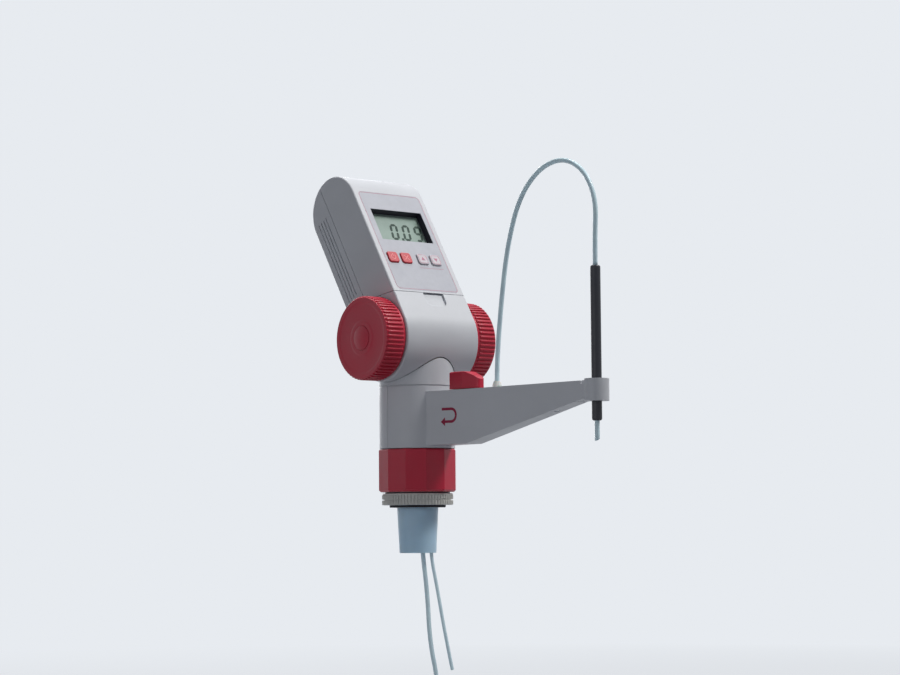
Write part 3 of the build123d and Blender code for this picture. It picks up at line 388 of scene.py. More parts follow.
# ---------------------------------------------------------------- finishes
class Finish:
    """A material under construction, with its shader and the object's own coordinates."""

    def __init__(self, name):
        self.material = bpy.data.materials.new(name)
        self.material.use_nodes = True
        self.tree = self.material.node_tree
        self.tree.nodes.clear()
        self.output = self.node("ShaderNodeOutputMaterial")
        self.shader = self.node("ShaderNodeBsdfPrincipled")
        self.link(self.shader.outputs["BSDF"], self.output.inputs["Surface"])
        self.where = self.node("ShaderNodeTexCoord").outputs["Object"]

    def node(self, kind, **settings):
        made = self.tree.nodes.new(kind)
        for key, value in settings.items():
            setattr(made, key, value)
        return made

    def link(self, start, end):
        self.tree.links.new(start, end)

    def set(self, **values):
        """Uniform values of the shader, by socket name with underscores for spaces."""
        for key, value in values.items():
            self.shader.inputs[key.replace("_", " ")].default_value = value

    def paint(self, colour):
        self.link(colour, self.shader.inputs["Base Color"])

    def shades(self, value, colour, dark, light):
        """The colour, from dark to light times itself as the value rises."""
        return self.mix(self.ramp(value, 0.0, 1.0), shade(colour, dark), shade(colour, light))

    def rough(self, value, low, high):
        """Roughness from low to high as the value rises."""
        self.link(self.ramp(value, low, high), self.shader.inputs["Roughness"])

    def relief(self, height, distance, strength, normal=None):
        """Fine bumps of the given height in metres, on top of another normal if there is one."""
        made = self.node("ShaderNodeBump")
        made.inputs["Distance"].default_value = distance
        made.inputs["Strength"].default_value = strength
        self.link(height, made.inputs["Height"])
        if normal:
            self.link(normal, made.inputs["Normal"])
        self.link(made.outputs["Normal"], self.shader.inputs["Normal"])

    def stretched(self, scale):
        """The object's coordinates, scaled apart along its axes."""
        mapping = self.node("ShaderNodeMapping")
        mapping.inputs["Scale"].default_value = scale
        self.link(self.where, mapping.inputs["Vector"])
        return mapping.outputs["Vector"]

    def noise(self, scale, detail=2.0, where=None):
        made = self.node("ShaderNodeTexNoise")
        made.inputs["Scale"].default_value = scale
        made.inputs["Detail"].default_value = detail
        self.link(where or self.where, made.inputs["Vector"])
        return made.outputs["Fac"]

    def ramp(self, value, low, high, start=0.3, stop=0.7):
        """Maps a 0..1 value to a number between low and high."""
        made = self.node("ShaderNodeMapRange")
        made.inputs["From Min"].default_value = start
        made.inputs["From Max"].default_value = stop
        made.inputs["To Min"].default_value = low
        made.inputs["To Max"].default_value = high
        self.link(value, made.inputs["Value"])
        return made.outputs["Result"]

    def mix(self, factor, first, second):
        """Mixes two colours, each a socket or four numbers."""
        made = self.node("ShaderNodeMix", data_type="RGBA")
        self.link(factor, made.inputs[0])
        for socket, value in ((made.inputs[6], first), (made.inputs[7], second)):
            if isinstance(value, bpy.types.NodeSocket):
                self.link(value, socket)
            else:
                socket.default_value = value
        return made.outputs[2]

    def painted_edge_highlight(self, colour, pale, radius, amount):
        """Lightens the outer few tenths of a millimetre of every edge, as a painted highlight along the edges."""
        round_normal = self.node("ShaderNodeBevel", samples=4)
        round_normal.inputs["Radius"].default_value = radius
        flat = self.node("ShaderNodeNewGeometry").outputs["Normal"]
        dot = self.node("ShaderNodeVectorMath", operation="DOT_PRODUCT")
        self.link(round_normal.outputs["Normal"], dot.inputs[0])
        self.link(flat, dot.inputs[1])
        edge = self.ramp(dot.outputs["Value"], amount, 0.0, 0.86, 0.995)
        return self.mix(edge, colour, pale), round_normal.outputs["Normal"]


def shade(colour, factor):
    """The colour made lighter or darker."""
    return tuple(min(1.0, c * factor) for c in colour[:3]) + (1.0,)


def moulded(name, colour, roughness, grain=0.35 * MM, depth=0.02 * MM, edge=0.45 * MM, edge_highlight=0.25, pale=1.35):
    """Injection moulded plastic: fine spark-eroded grain, slow colour drift, and a painted highlight along the edges.
    """
    finish = Finish(name)
    drift = finish.noise(22.0, 3.0)
    fine = finish.noise(1.0 / grain, 2.0)
    body = finish.shades(drift, colour, 0.955, 1.04)
    specks = finish.ramp(finish.noise(900.0, 1.0), 0.0, 0.5, 0.68, 0.8)
    body = finish.mix(specks, body, shade(colour, 0.86))
    # painted highlight: every edge is lightened towards the pale colour
    body, rounded = finish.painted_edge_highlight(body, shade(colour, pale), edge, edge_highlight)
    finish.paint(body)
    smears = finish.noise(90.0, 4.0)
    finish.rough(smears, roughness - 0.05, roughness + 0.07)
    finish.relief(fine, depth, 0.35, rounded)
    finish.set(Specular_IOR_Level=0.35)
    return finish.material


def rubber(name, colour):
    """Matt elastomer with a fine grain."""
    finish = Finish(name)
    grain = finish.noise(1600.0, 3.0)
    finish.paint(finish.shades(grain, colour, 0.7, 1.5))
    finish.relief(grain, 0.05 * MM, 0.5)
    finish.set(Roughness=0.78, Specular_IOR_Level=0.3)
    return finish.material


def machined_polymer(name, colour, pitch):
    """Turned polymer with faint tool rings."""
    finish = Finish(name)
    rings = finish.noise(1.0, 2.0, finish.stretched((60.0, 60.0, 1.0 / pitch)))
    drift = finish.noise(40.0, 2.0)
    finish.paint(finish.shades(drift, colour, 0.93, 1.04))
    finish.rough(rings, 0.38, 0.55)
    finish.relief(rings, 0.04 * MM, 0.4)
    finish.set(Subsurface_Weight=0.15, Subsurface_Scale=0.002)
    return finish.material


def translucent(name, colour, transmission, roughness, milky=0.0, alpha=1.0):
    """Milky tube or moulding that lets light through, slightly uneven in tone and gloss."""
    finish = Finish(name)
    cloud = finish.noise(70.0, 2.0)
    waves = finish.noise(120.0, 0.0)
    finish.paint(finish.shades(cloud, colour, 0.94, 1.04))
    finish.rough(waves, roughness - 0.03, roughness + 0.04)
    finish.relief(waves, 0.02 * MM, 0.06)
    finish.set(Transmission_Weight=transmission, IOR=1.38, Subsurface_Weight=milky, Subsurface_Scale=0.003,
               Subsurface_Radius=(0.8, 0.9, 1.0), Alpha=alpha)
    return finish.material


def metal(name, colour, roughness, stretch):
    """Bare metal with tool marks, drawn out along the axis where stretch is least."""
    finish = Finish(name)
    brushed = finish.noise(1.0, 3.0, finish.stretched(stretch))
    finish.paint(finish.shades(brushed, colour, 0.82, 1.1))
    finish.rough(brushed, roughness - 0.07, roughness + 0.1)
    finish.relief(brushed, 0.01 * MM, 0.5)
    finish.set(Metallic=1.0)
    return finish.material


def printed_panel(name, colour):
    """Membrane with a fine matt emboss and the slight mottling of screen print."""
    finish = Finish(name)
    emboss = finish.node("ShaderNodeTexVoronoi", feature="SMOOTH_F1")
    emboss.inputs["Scale"].default_value = 2600.0
    finish.link(finish.where, emboss.inputs["Vector"])
    mottle = finish.noise(260.0, 4.0)
    finish.paint(finish.shades(mottle, colour, 0.965, 1.03))
    finish.rough(finish.noise(70.0, 3.0), 0.40, 0.52)
    finish.relief(emboss.outputs["Distance"], 0.02 * MM, 0.35)
    return finish.material


def printed_ink(name, colour):
    """Flat ink with tiny lighter pores."""
    finish = Finish(name)
    pores = finish.ramp(finish.noise(2400.0, 2.0), 0.0, 1.0, 0.45, 0.75)
    finish.paint(finish.mix(pores, colour, shade(colour, 1.35)))
    finish.rough(finish.noise(600.0, 2.0), 0.45, 0.6)
    finish.set(Specular_IOR_Level=0.2)
    return finish.material


def crystal_display(name, colour):
    """Grey-green reflector with the fine weave of its polariser and a slow shift of tone."""
    finish = Finish(name)
    weave = finish.noise(1.0, 1.0, finish.stretched((5200.0, 700.0, 700.0)))
    tone = finish.noise(34.0, 1.0)
    body = finish.shades(tone, colour, 0.9, 1.08)
    body = finish.mix(finish.ramp(weave, 0.0, 0.35), body, shade(colour, 0.82))
    finish.paint(body)
    finish.rough(finish.noise(150.0, 2.0), 0.16, 0.24)
    finish.set(Coat_Weight=0.4, Coat_Roughness=0.06)
    return finish.material


def circuit(name):
    """Green solder resist with paler tracks."""
    finish = Finish(name)
    tracks = finish.node("ShaderNodeTexBrick")
    for label, value in (("Scale", 260.0), ("Mortar Size", 0.012), ("Color1", (0.012, 0.11, 0.04, 1.0)),
                         ("Color2", (0.016, 0.14, 0.05, 1.0)), ("Mortar", (0.05, 0.26, 0.10, 1.0))):
        tracks.inputs[label].default_value = value
    finish.link(finish.where, tracks.inputs["Vector"])
    finish.paint(tracks.outputs["Color"])
    finish.rough(finish.noise(300.0, 2.0), 0.3, 0.42)
    finish.relief(tracks.outputs["Fac"], 0.03 * MM, 0.4)
    return finish.material


def cell_sleeve(name):
    """A battery's dark wrap with a copper band towards +X."""
    finish = Finish(name)
    parts = finish.node("ShaderNodeSeparateXYZ")
    finish.link(finish.where, parts.inputs["Vector"])
    end_band = finish.ramp(parts.outputs["X"], 0.0, 1.0, 11.9 * MM, 12.1 * MM)
    wrap = finish.mix(finish.ramp(finish.noise(500.0, 3.0), 0.0, 1.0), (0.03, 0.032, 0.04, 1), (0.05, 0.052, 0.06, 1))
    finish.paint(finish.mix(end_band, wrap, (0.45, 0.24, 0.10, 1)))
    finish.rough(finish.noise(220.0, 2.0), 0.25, 0.4)
    finish.set(Metallic=0.6)
    return finish.material


def silicone(name, colour):
    """Soft key rubber that light enters a little."""
    finish = Finish(name)
    cloud = finish.noise(300.0, 3.0)
    fine = finish.noise(3200.0, 2.0)
    finish.paint(finish.shades(cloud, colour, 0.92, 1.06))
    finish.rough(cloud, 0.42, 0.54)
    finish.relief(fine, 0.02 * MM, 0.4)
    finish.set(Subsurface_Weight=0.2, Subsurface_Scale=0.0015, Subsurface_Radius=(1.0, 0.35, 0.3))
    return finish.material


FINISHES = {}


def finish_named(name):
    """The burette's finishes, each made once, on first use."""
    colours = bpy.context.scene.burette_colours
    makers = {
        # the last two values of a moulded finish set how strong and how light its painted edge highlight is
        "housing": lambda: moulded("Grey housing", tuple(colours.housing), 0.44),
        "red": lambda: moulded("Crimson moulding", tuple(colours.red), 0.34, edge_highlight=0.2, pale=1.6),
        "black": lambda: moulded("Black moulding", tuple(colours.black), 0.42, edge_highlight=0.3, pale=2.6),
        "frame": lambda: moulded("Display frame", (0.010, 0.008, 0.018, 1.0), 0.5, edge_highlight=0.1, pale=2.0),
        "pale": lambda: moulded("Fluted ring", (0.68, 0.68, 0.65, 1.0), 0.5, edge_highlight=0.3, pale=1.1),
        "rubber": lambda: rubber("Seal rubber", (0.018, 0.018, 0.024, 1.0)),
        "fluoropolymer": lambda: machined_polymer("Turned fluoropolymer", (0.78, 0.78, 0.75, 1.0), 0.5 * MM),
        "beige": lambda: machined_polymer("Natural polymer", (0.60, 0.46, 0.34, 1.0), 0.4 * MM),
        "clear": lambda: translucent("Translucent taper", (0.56, 0.76, 0.92, 1.0), 0.25, 0.34, 0.4),
        "tube": lambda: translucent("Translucent tube", (0.72, 0.91, 1.0, 1.0), 0.0, 0.26, alpha=0.82),
        "glass": lambda: translucent("Pump glass", (0.92, 0.96, 0.97, 1.0), 0.95, 0.06),
        "steel": lambda: metal("Ground steel", (0.62, 0.63, 0.65, 1.0), 0.28, (30.0, 2500.0, 2500.0)),
        "aluminium": lambda: metal("Milled aluminium", (0.60, 0.61, 0.63, 1.0), 0.38, (900.0, 900.0, 60.0)),
        "bronze": lambda: metal("Sintered bronze", (0.55, 0.36, 0.18, 1.0), 0.45, (1500.0, 1500.0, 1500.0)),
        "panel": lambda: printed_panel("Panel membrane", tuple(colours.panel)),
        "display": lambda: crystal_display("Liquid crystal", tuple(colours.display)),
        "digits": lambda: printed_ink("Display digits", (0.020, 0.045, 0.034, 1.0)),
        "board": lambda: circuit("Circuit board"),
        "cell": lambda: cell_sleeve("Cell sleeve"),
        "key_red": lambda: silicone("Coral key", tuple(colours.key_red)),
        "key_white": lambda: silicone("White key", (0.52, 0.48, 0.52, 1.0)),
        "line": lambda: printed_ink("Panel line", (0.42, 0.17, 0.24, 1.0)),
        "mark": lambda: printed_ink("Arm mark", tuple(colours.mark)),
        "pale_mark": lambda: printed_ink("Pale mark", (0.78, 0.26, 0.27, 1.0)),
    }
    if name not in FINISHES:
        FINISHES[name] = makers[name]()
    return FINISHES[name]


NODE_FINISHES = {
    "housing": "arm_casing arm_floor_plate casing_rear column_upper front_cover rear_housing head_front_shell "
    "head_rear_shell battery_door",
    "red": "coupling_nut handwheel_left handwheel_right hub_cap_left hub_cap_right valve_lever",
    "black": "spout_sleeve encoder_disc encoder_sensor neck_ring",
    "frame": "display_bezel",
    "pale": "knurled_ring",
    "rubber": "seal_disc",
    "fluoropolymer": "valve_block valve_body tube_nut",
    "beige": "cam_left cam_right battery_tray valve_spindle",
    "clear": "joint_spigot",
    "tube": "dispensing_tube suction_tube return_tube spout_tube",
    "glass": "cylinder_left cylinder_right",
    "steel": "drive_shaft piston_left piston_right",
    "aluminium": "chassis",
    "bronze": "bearing_left bearing_right",
    "panel": "panel_foil",
    "display": "lcd_module",
    "board": "circuit_board",
    "cell": "battery_1 battery_2",
    "key_red": "key_power key_clear",
    "key_white": "key_up key_down",
}


def seeing_rays(tree):
    """1 for rays that show the backdrop, from the camera, through glass or off gloss, and 0 for the rest."""
    path = tree.nodes.new("ShaderNodeLightPath")
    mask = path.outputs["Is Camera Ray"]
    for ray in ("Is Transmission Ray", "Is Glossy Ray"):
        either = tree.nodes.new("ShaderNodeMath")
        either.operation = "MAXIMUM"
        tree.links.new(mask, either.inputs[0])
        tree.links.new(path.outputs[ray], either.inputs[1])
        mask = either.outputs[0]
    return mask


# ---------------------------------------------------------------- operators
class BURETTE_OT_stage(bpy.types.Operator):
    """Pale floor and backdrop, soft studio lamps and the camera"""

    bl_idname = "burette.stage"
    bl_label = "Stage and camera"

    def execute(self, context):
        self.camera(context)
        self.lamps(context)
        self.world(context)
        self.floor(context)
        context.scene.view_settings.view_transform = "Standard"
        return {"FINISHED"}

    def camera(self, context):
        azimuth, elevation, roll = math.radians(-40.35), math.radians(-4.59), math.radians(-0.43)
        distance = 1694.14 * MM
        aside, above = 23.74 * MM, 2.69 * MM       # the wheels' centre from the middle of the view
        back = Vector((
            math.sin(azimuth) * math.cos(elevation),
            -math.cos(azimuth) * math.cos(elevation),
            math.sin(elevation),
        ))
        level = Vector((math.cos(azimuth), math.sin(azimuth), 0.0))
        upright = back.cross(level)
        right = math.cos(roll) * level + math.sin(roll) * upright
        up = -math.sin(roll) * level + math.cos(roll) * upright
        data = bpy.data.cameras.new("Camera")
        data.sensor_width = 36.0
        data.lens = 95.21
        data.clip_start = 0.05
        data.clip_end = 50.0
        camera = bpy.data.objects.new("Camera", data)
        place = WHEEL_CENTRE + back * distance + right * aside + up * above
        turn = Matrix((right, up, back)).transposed().to_4x4()
        camera.matrix_world = Matrix.Translation(place) @ turn
        context.scene.collection.objects.link(camera)
        context.scene.camera = camera

    def lamps(self, context):
        target = Vector((0.0, -0.04, 0.12))
        for name, place, size, power, colour in (
            ("Key", (0.60, -0.75, 1.40), 0.5, 21.0, (1.0, 0.99, 0.97)),
            ("Top", (0.25, 0.30, 1.50), 0.6, 10.0, (1.0, 1.0, 1.0)),
            ("Side", (-1.4, -0.20, 0.20), 0.9, 2.6, (0.95, 0.97, 1.0)),
            ("Back", (0.6, 1.5, 0.55), 1.0, 9.0, (0.98, 0.99, 1.0)),
        ):
            data = bpy.data.lights.new(name, "AREA")
            data.size = size
            data.energy = power
            data.color = colour
            lamp = bpy.data.objects.new(name, data)
            lamp.location = place
            lamp.rotation_mode = "QUATERNION"
            lamp.rotation_quaternion = (target - Vector(place)).to_track_quat("-Z", "Y")
            context.scene.collection.objects.link(lamp)

    def world(self, context):
        world = bpy.data.worlds.new("Studio")
        world.use_nodes = True
        context.scene.world = world
        tree = world.node_tree
        tree.nodes.clear()
        output = tree.nodes.new("ShaderNodeOutputWorld")
        mixed = tree.nodes.new("ShaderNodeMixShader")
        tree.links.new(seeing_rays(tree), mixed.inputs[0])
        for place, colour, strength in ((1, (0.86, 0.90, 1.0, 1.0), 0.12), (2, BACKGROUND, 1.0)):
            light = tree.nodes.new("ShaderNodeBackground")
            light.inputs["Color"].default_value = colour
            light.inputs["Strength"].default_value = strength
            tree.links.new(light.outputs[0], mixed.inputs[place])
        tree.links.new(mixed.outputs[0], output.inputs["Surface"])

    def floor(self, context):
        reach, below = 6.0, -172.0 * MM
        floor = mesh_piece(
            "floor",
            [(-reach, -reach, below), (reach, -reach, below), (reach, reach, below), (-reach, reach, below)],
            [(0, 1, 2, 3)],
        )
        finish = Finish("Floor")
        path = finish.node("ShaderNodeLightPath")
        cloud = finish.mix(finish.ramp(finish.noise(3.0), 0.0, 1.0), *FLOOR_TONES)
        finish.paint(finish.mix(path.outputs["Is Diffuse Ray"], cloud, FLOOR_BOUNCE))
        finish.set(Roughness=0.9, Specular_IOR_Level=0.1)
        # where it is seen, it fades into the pale background away from the object, and keeps the shadow near it
        pale = finish.node("ShaderNodeEmission")
        pale.inputs["Color"].default_value = BACKGROUND
        away = finish.node("ShaderNodeVectorMath", operation="LENGTH")
        finish.link(finish.where, away.inputs[0])
        share = finish.node("ShaderNodeMath", operation="MULTIPLY")
        share_near, share_far, near, far = 0.55, 1.0, 0.3, 1.6
        finish.link(finish.ramp(away.outputs["Value"], share_near, share_far, near, far), share.inputs[0])
        finish.link(seeing_rays(finish.tree), share.inputs[1])
        mixed = finish.node("ShaderNodeMixShader")
        finish.link(share.outputs[0], mixed.inputs[0])
        finish.link(finish.shader.outputs["BSDF"], mixed.inputs[1])
        finish.link(pale.outputs["Emission"], mixed.inputs[2])
        finish.link(mixed.outputs[0], finish.output.inputs["Surface"])
        floor.data.materials.append(finish.material)


class BURETTE_OT_tubes(bpy.types.Operator):
    """The arched dispensing tube and the two tubes that hang into the bottle"""

    bl_idname = "burette.tubes"
    bl_label = "Tubes"

    def execute(self, context):
        outer = 1.65 * MM
        inner = outer - context.scene.burette_sizes.tube_wall
        line = self.smooth_line("dispensing_line", DISPENSING_ROUTE, 0.0)
        path = self.points_of(line)
        bpy.data.objects.remove(line)
        tube = self.hollow_tube("dispensing_hose", path, outer, inner)
        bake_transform(tube)
        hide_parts("dispensing_tube")

        for name, node, route, radius, length in (
            ("suction_hose", "suction_tube", SUCTION_ROUTE, 1.6 * MM, 0.1608),
            ("return_hose", "return_tube", RETURN_ROUTE, 1.25 * MM, 0.1174),
        ):
            hose = self.smooth_line(name, route, radius)
            hose.data.materials.append(finish_named("tube"))
            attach(hose, "dispenser")
            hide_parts(node)
        return {"FINISHED"}

    def smooth_line(self, name, route, radius):
        """A smooth curve along a route in millimetres, as thick as its radius."""
        data = bpy.data.curves.new(name, "CURVE")
        data.dimensions = "3D"
        data.resolution_u = 16
        data.bevel_depth = radius
        data.bevel_resolution = 5
        data.use_fill_caps = radius > 0
        spline = data.splines.new("NURBS")
        spline.points.add(len(route) - 1)
        for point, place in zip(spline.points, route):
            point.co = (*(c * MM for c in place), 1.0)
        spline.order_u = 3
        spline.use_endpoint_u = True
        curve = bpy.data.objects.new(name, data)
        bpy.context.scene.collection.objects.link(curve)
        return curve

    def points_of(self, curve):
        """The points of a thin curve's own line."""
        mesh = evaluated_mesh(curve)
        points = [v.co.copy() for v in mesh.vertices]
        bpy.data.meshes.remove(mesh)
        return points

    def hollow_tube(self, name, path, outer, inner, around=20):
        """A tube with a bore along a path in the plane across X, and open ends with flat rims."""
        vertices, faces = [], []
        across = Vector((1, 0, 0))
        for i, here in enumerate(path):
            along = (path[min(i + 1, len(path) - 1)] - path[max(i - 1, 0)]).normalized()
            beside = along.cross(across).normalized()
            for radius in (outer, inner):
                for step in range(around):
                    turn = 2 * math.pi * step / around
                    vertices.append(here + (across * math.cos(turn) + beside * math.sin(turn)) * radius)
        ring = 2 * around
        last = (len(path) - 1) * ring
        for low in range(0, last, ring):
            faces += quads(low, low + ring, around) + quads(low + ring + around, low + around, around)
        faces += quads(around, 0, around) + quads(last, last + around, around)
        return solid_piece(name, vertices, faces, finish_named("tube"), smooth=True)


class BURETTE_OT_handwheels(bpy.types.Operator):
    """Two hollow handwheels with a ring of grip ribs and a shallow dished face"""

    bl_idname = "burette.handwheels"
    bl_label = "Handwheels"

    def execute(self, context):
        sizes = context.scene.burette_sizes
        rim = WHEEL_RADIUS - sizes.rib_height
        profile = [(r * MM, h * MM) for r, h in (
            (rim / MM, 33.4), (rim / MM, 49.8), (28.2, 50.0), (25.8, 50.0), (25.3, 49.97), (24.5, 49.74), (23.9, 49.7),
            (13.2, 49.7), (12.5, 49.74), (11.7, 49.97), (11.2, 50.0), (8.8, 50.0), (8.56, 49.85), (8.52, 49.6),
            (8.52, 48.8), (4.0, 48.8), (4.0, 33.2), (7.8, 33.2), (8.0, 33.4), (8.0, 46.6), (8.6, 47.0), (25.0, 47.0),
            (25.7, 46.4), (25.8, 33.2), (28.2, 33.2),
        )]
        for name, node, turn in (("wheel_right", "handwheel_right", 0.0), ("wheel_left", "handwheel_left", math.pi)):
            body = lathe(name, profile, 180, finish_named("red"))
            rib = self.grip_rib(sizes.rib_width, sizes.rib_height)
            add_ring(body, rib, sizes.rib_count, rim, finish_named("red"))
            place = Matrix.Translation(WHEEL_CENTRE) @ Matrix.Rotation(turn, 4, "Z") @ Matrix.Rotation(
                math.pi / 2, 4, "Y")
            body.data.transform(place)
            body.data.set_sharp_from_angle(angle=math.radians(32))
            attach(body, "drive")
            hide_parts(node)
        return {"FINISHED"}

    def grip_rib(self, width, height):
        """One rib along Z, standing out along X, from the plain collar to the bevel round the wheel's face."""
        section = [(-0.5, -0.35), (-0.47, 0.3), (-0.4, 0.78), (-0.26, 0.96), (0.0, 1.0),
                   (0.26, 0.96), (0.4, 0.78), (0.47, 0.3), (0.5, -0.35)]
        stations = [(35.1 * MM, 0.45), (35.4 * MM, 0.88), (35.8 * MM, 1.0), (48.3 * MM, 1.0), (48.75 * MM, 0.88),
                    (49.3 * MM, 0.45), (49.75 * MM, -0.05)]
        return swept_rib("grip_rib", [(across * width, out * height) for across, out in section], stations, smooth=True)


class BURETTE_OT_fluted_ring(bpy.types.Operator):
    """The off-white union ring with two rows of teeth"""

    bl_idname = "burette.fluted_ring"
    bl_label = "Fluted ring"

    def execute(self, context):
        count = context.scene.burette_sizes.tooth_count
        core = 23.9
        profile = [(r * MM, h * MM) for r, h in (
            (14.3, 1.7), (23.4, 1.7), (core, 2.0), (core, 5.0), (23.6, 5.1), (23.6, 5.7), (core, 5.8), (core, 8.6),
            (25.0, 8.8), (25.0, 9.4), (24.6, 9.8), (14.3, 9.8)
        )]
        ring = lathe("union_ring", profile, 132, finish_named("pale"))
        for low, high in ((1.75, 5.1), (5.7, 8.9)):
            tooth = self.tooth(low * MM, high * MM)
            add_ring(ring, tooth, count, core * MM, finish_named("pale"))
        ring.data.set_sharp_from_angle(angle=math.radians(30))
        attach(ring, "adapter_ring")
        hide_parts("knurled_ring")
        return {"FINISHED"}

    def tooth(self, low, high):
        """One tooth between two heights, eased at both ends."""
        half, out, root, ease = 0.62 * MM, 1.3 * MM, -0.3 * MM, 0.24 * MM
        section = [(-half, root), (-half * 0.86, out * 0.55), (-half * 0.5, out),
                   (half * 0.5, out), (half * 0.86, out * 0.55), (half, root)]
        return swept_rib("ring_tooth", section, [(low, 0.35), (low + ease, 1.0), (high - ease, 1.0), (high, 0.35)])


class BURETTE_OT_display(bpy.types.Operator):
    """The digits of the display"""

    bl_idname = "burette.display"
    bl_label = "Display digits"

    def execute(self, context):
        sizes = context.scene.burette_sizes
        first, low, wide, stroke, slant = -7.9 * MM, 71.6 * MM, 7.1 * MM, 2.1 * MM, 0.17
        sunk, ink = 5.5 * MM, 0.08 * MM
        outlines = []
        for place, segments in enumerate(("abcdef", "abcdef", "abcdfg")):
            left = first + place * sizes.digit_pitch
            outlines += self.digit(left, low, wide, sizes.digit_height, stroke, segments)
        point_x = first + sizes.digit_pitch - stroke
        outlines.append([(point_x, low), (point_x + stroke, low), (point_x + stroke, low + stroke),
                         (point_x, low + stroke)])
        outlines = [[(u + (v - low) * slant, v) for u, v in outline] for outline in outlines]
        digits = plate("display_digits", outlines, lambda u, v, lift: on_panel(u, v, lift - sunk), ink,
                       finish_named("digits"))
        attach(digits, "dispenser")
        return {"FINISHED"}

    def digit(self, left, low, wide, high, stroke, segments):
        """Outlines of a digit's lit segments, lettered a to g from the top, clockwise, with g in the middle."""
        right, middle, top = left + wide, low + high / 2, low + high
        half, slit = stroke / 2, 0.12 * MM

        def flat(y, start=left + half, stop=right - half):
            start, stop = start + slit, stop - slit
            return [(start, y), (start + half, y + half), (stop - half, y + half), (stop, y), (stop - half, y - half),
                    (start + half, y - half)]

        def upright(x, start, stop):
            return [(u, v) for v, u in flat(x, start, stop)]

        shapes = {
            "a": flat(top - half), "g": flat(middle), "d": flat(low + half),
            "b": upright(right - half, middle, top - half), "c": upright(right - half, low + half, middle),
            "f": upright(left + half, middle, top - half), "e": upright(left + half, low + half, middle),
        }
        return [shapes[s] for s in segments]


class BURETTE_OT_panel_print(bpy.types.Operator):
    """The border line of the panel and the signs on and around its keys"""

    bl_idname = "burette.panel_print"
    bl_label = "Panel print"

    def execute(self, context):
        border_half, border_low, border_high, border_corner, border_line = (
            27.9 * MM, 23.4 * MM, 109.0 * MM, 2.6 * MM, 0.35 * MM)
        rule_rise, rule_left, rule_right, rule_line = 43.2 * MM, 1.4 * MM, 23.2 * MM, 0.3 * MM
        border = rounded_rectangle(border_half, border_low, border_high, border_corner)
        outlines = band(border, border_line, closed=True)
        outlines += band([(rule_left, rule_rise), (rule_right, rule_rise)], rule_line)
        lines = plate("panel_lines", outlines, on_panel, 0.07 * MM, finish_named("line"))
        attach(lines, "dispenser")

        signs = {
            "key_power": ("power_button", "pale_mark", self.power_sign()),
            "key_clear": ("clear_button", "pale_mark", self.clear_sign()),
            "key_up": ("up_button", "line", self.arrow_sign(1)),
            "key_down": ("down_button", "line", self.arrow_sign(-1)),
        }
        for node, (body, finish, outlines) in signs.items():
            x = KEY_X[node] * MM
            sign = plate(node + "_sign", outlines, lambda u, v, lift: on_panel(x + u, KEY_ROW + v, KEY_RISE + lift),
                         0.08 * MM, finish_named(finish))
            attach(sign, body)
        return {"FINISHED"}

    def power_sign(self):
        """A ring, open at the top, with a bar in the gap."""
        radius, stroke = 1.9 * MM, 0.5 * MM
        ring = band(arc((0, 0), radius, 125, 415, 18), stroke)
        return ring + band([(0, 0.5 * MM), (0, 2.6 * MM)], stroke)

    def clear_sign(self):
        """A cross."""
        side, stroke = 1.9 * MM, 0.5 * MM
        return band([(-side, -side), (side, side)], stroke) + band([(-side, side), (side, -side)], stroke)

    def arrow_sign(self, hand):
        """A framed arrowhead that points up the panel for hand 1 and down for -1."""
        half, corner, stroke = 3.6 * MM, 1.3 * MM, 0.3 * MM
        edge = rounded_rectangle(half, -half, half, corner, 3)
        arrow = [(-1.7 * MM, -1.2 * MM * hand), (1.7 * MM, -1.2 * MM * hand), (0.0, 1.8 * MM * hand)]
        return band(edge, stroke, closed=True) + [arrow]


class BURETTE_OT_arm_mark(bpy.types.Operator):
    """The printed return arrow on the arm's left side, beside the valve"""

    bl_idname = "burette.arm_mark"
    bl_label = "Return arrow"

    def execute(self, context):
        upper, lower, bend_y = 67.7, 58.9, -47.2
        radius = (upper - lower) / 2
        path = [(y * MM, upper * MM) for y in (-38.2, -40.5, -43.0, -45.2)]
        path += [(y * MM, z * MM) for y, z in arc((bend_y, (upper + lower) / 2), radius, 90, 270, 16)]
        path += [(y * MM, lower * MM) for y in (-45.0, -43.0, -41.0)]
        outlines = band(path, 1.9 * MM)
        outlines.append([(-41.2 * MM, 62.0 * MM), (-37.3 * MM, lower * MM), (-41.2 * MM, 55.8 * MM)])
        arrow = plate("return_arrow", outlines, lambda y, z, lift: Vector((-arm_half_width(y) - lift, y, z)),
                      0.07 * MM, finish_named("mark"))
        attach(arrow, "dispenser")
        return {"FINISHED"}


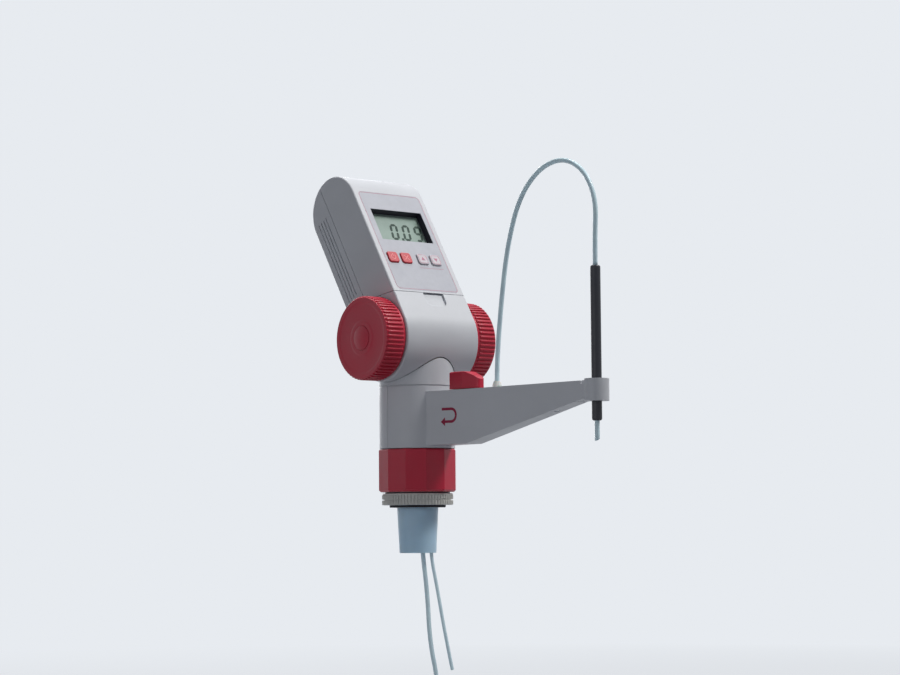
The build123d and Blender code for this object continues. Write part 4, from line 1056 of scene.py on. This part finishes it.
class BURETTE_OT_screws(bpy.types.Operator):
    """Hexagon socket screws in the recesses of the head's back, the rear casing and the arm's floor plate"""

    bl_idname = "burette.screws"
    bl_label = "Screws"

    def execute(self, context):
        back = -50.0 * MM                # floor of the recesses in the head's back, from the front face
        groups = (
            ("head_screws", [on_panel(x * MM, rise * MM, back) for x in (-27, 27) for rise in (40, 105)],
             -math.pi / 2 - HEAD_TILT, 2.2 * MM, 1.0 * MM),
            ("casing_screws", [Vector((0, 25.4, z)) * MM for z in (50.4, 75.8)], -math.pi / 2, 2.2 * MM, 1.0 * MM),
            ("floor_screws", [Vector((0, -34, 44.0)) * MM, Vector((0, -146, 62.9)) * MM], math.pi, 1.8 * MM, 0.6 * MM),
        )
        for name, places, tilt, radius, height in groups:
            piece = mesh_piece(name, places, [])
            screw = self.screw(radius, height)
            use_tree(piece, screw_tree(), {"Screw": screw, "Tilt": tilt, "Finish": finish_named("steel")})
            bpy.data.objects.remove(screw)
            piece.data.set_sharp_from_angle(angle=math.radians(30))
            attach(piece, "dispenser")
        return {"FINISHED"}

    def screw(self, radius, height):
        """A low cheese head with a hexagon socket, standing on the origin along Z."""
        around = 24
        socket = 0.5 * radius
        rings = [(radius, -0.2 * height, 0), (radius, 0.8 * height, 0), (0.9 * radius, height, 0),
                 (socket, height, 1), (socket, 0.35 * height, 1)]
        vertices = []
        for reach, level, six in rings:
            for step in range(around):
                turn = 2 * math.pi * step / around
                flat = math.cos(math.pi / 6) / math.cos(turn % (math.pi / 3) - math.pi / 6) if six else 1.0
                vertices.append((reach * flat * math.cos(turn), reach * flat * math.sin(turn), level))
        faces = [tuple(range(around - 1, -1, -1)), tuple(range(4 * around, 5 * around))]
        for low in range(0, 4 * around, around):
            faces += quads(low, low + around, around)
        return solid_piece("screw", vertices, faces)


class BURETTE_OT_finishes(bpy.types.Operator):
    """Materials of every part that is shown as it was packed"""

    bl_idname = "burette.finishes"
    bl_label = "Finishes"

    def execute(self, context):
        left = set(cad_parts)
        for finish, nodes in NODE_FINISHES.items():
            for node in nodes.split():
                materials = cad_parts[node].data.materials
                materials.clear()
                materials.append(finish_named(finish))
                left.discard(node)
        if left:
            raise RuntimeError(f"no finish for {sorted(left)}")
        return {"FINISHED"}


class BURETTE_PT_panel(bpy.types.Panel):
    """Sizes, colours and the pieces' buttons in the sidebar"""

    bl_idname = "BURETTE_PT_panel"
    bl_label = "Bottle Top Burette"
    bl_space_type = "VIEW_3D"
    bl_region_type = "UI"
    bl_category = "Burette"

    def draw(self, context):
        for group in (context.scene.burette_sizes, context.scene.burette_colours):
            for name in group.__annotations__:
                self.layout.prop(group, name)
        for operator in OPERATORS:
            self.layout.operator(operator.bl_idname)


OPERATORS = (
    BURETTE_OT_stage,
    BURETTE_OT_tubes,
    BURETTE_OT_handwheels,
    BURETTE_OT_fluted_ring,
    BURETTE_OT_display,
    BURETTE_OT_panel_print,
    BURETTE_OT_arm_mark,
    BURETTE_OT_screws,
    BURETTE_OT_finishes,
)
CLASSES = (BURETTE_PG_sizes, BURETTE_PG_colours, *OPERATORS, BURETTE_PT_panel)


def register():
    for cls in CLASSES:
        bpy.utils.register_class(cls)
    bpy.types.Scene.burette_sizes = bpy.props.PointerProperty(type=BURETTE_PG_sizes)
    bpy.types.Scene.burette_colours = bpy.props.PointerProperty(type=BURETTE_PG_colours)


def unregister():
    del bpy.types.Scene.burette_colours
    del bpy.types.Scene.burette_sizes
    for cls in reversed(CLASSES):
        bpy.utils.unregister_class(cls)


def main():
    register()
    bpy.ops.burette.stage()
    bpy.ops.burette.tubes()
    bpy.ops.burette.handwheels()
    bpy.ops.burette.fluted_ring()
    bpy.ops.burette.display()
    bpy.ops.burette.panel_print()
    bpy.ops.burette.arm_mark()
    bpy.ops.burette.screws()
    bpy.ops.burette.finishes()


if __name__ == "__main__":
    main()
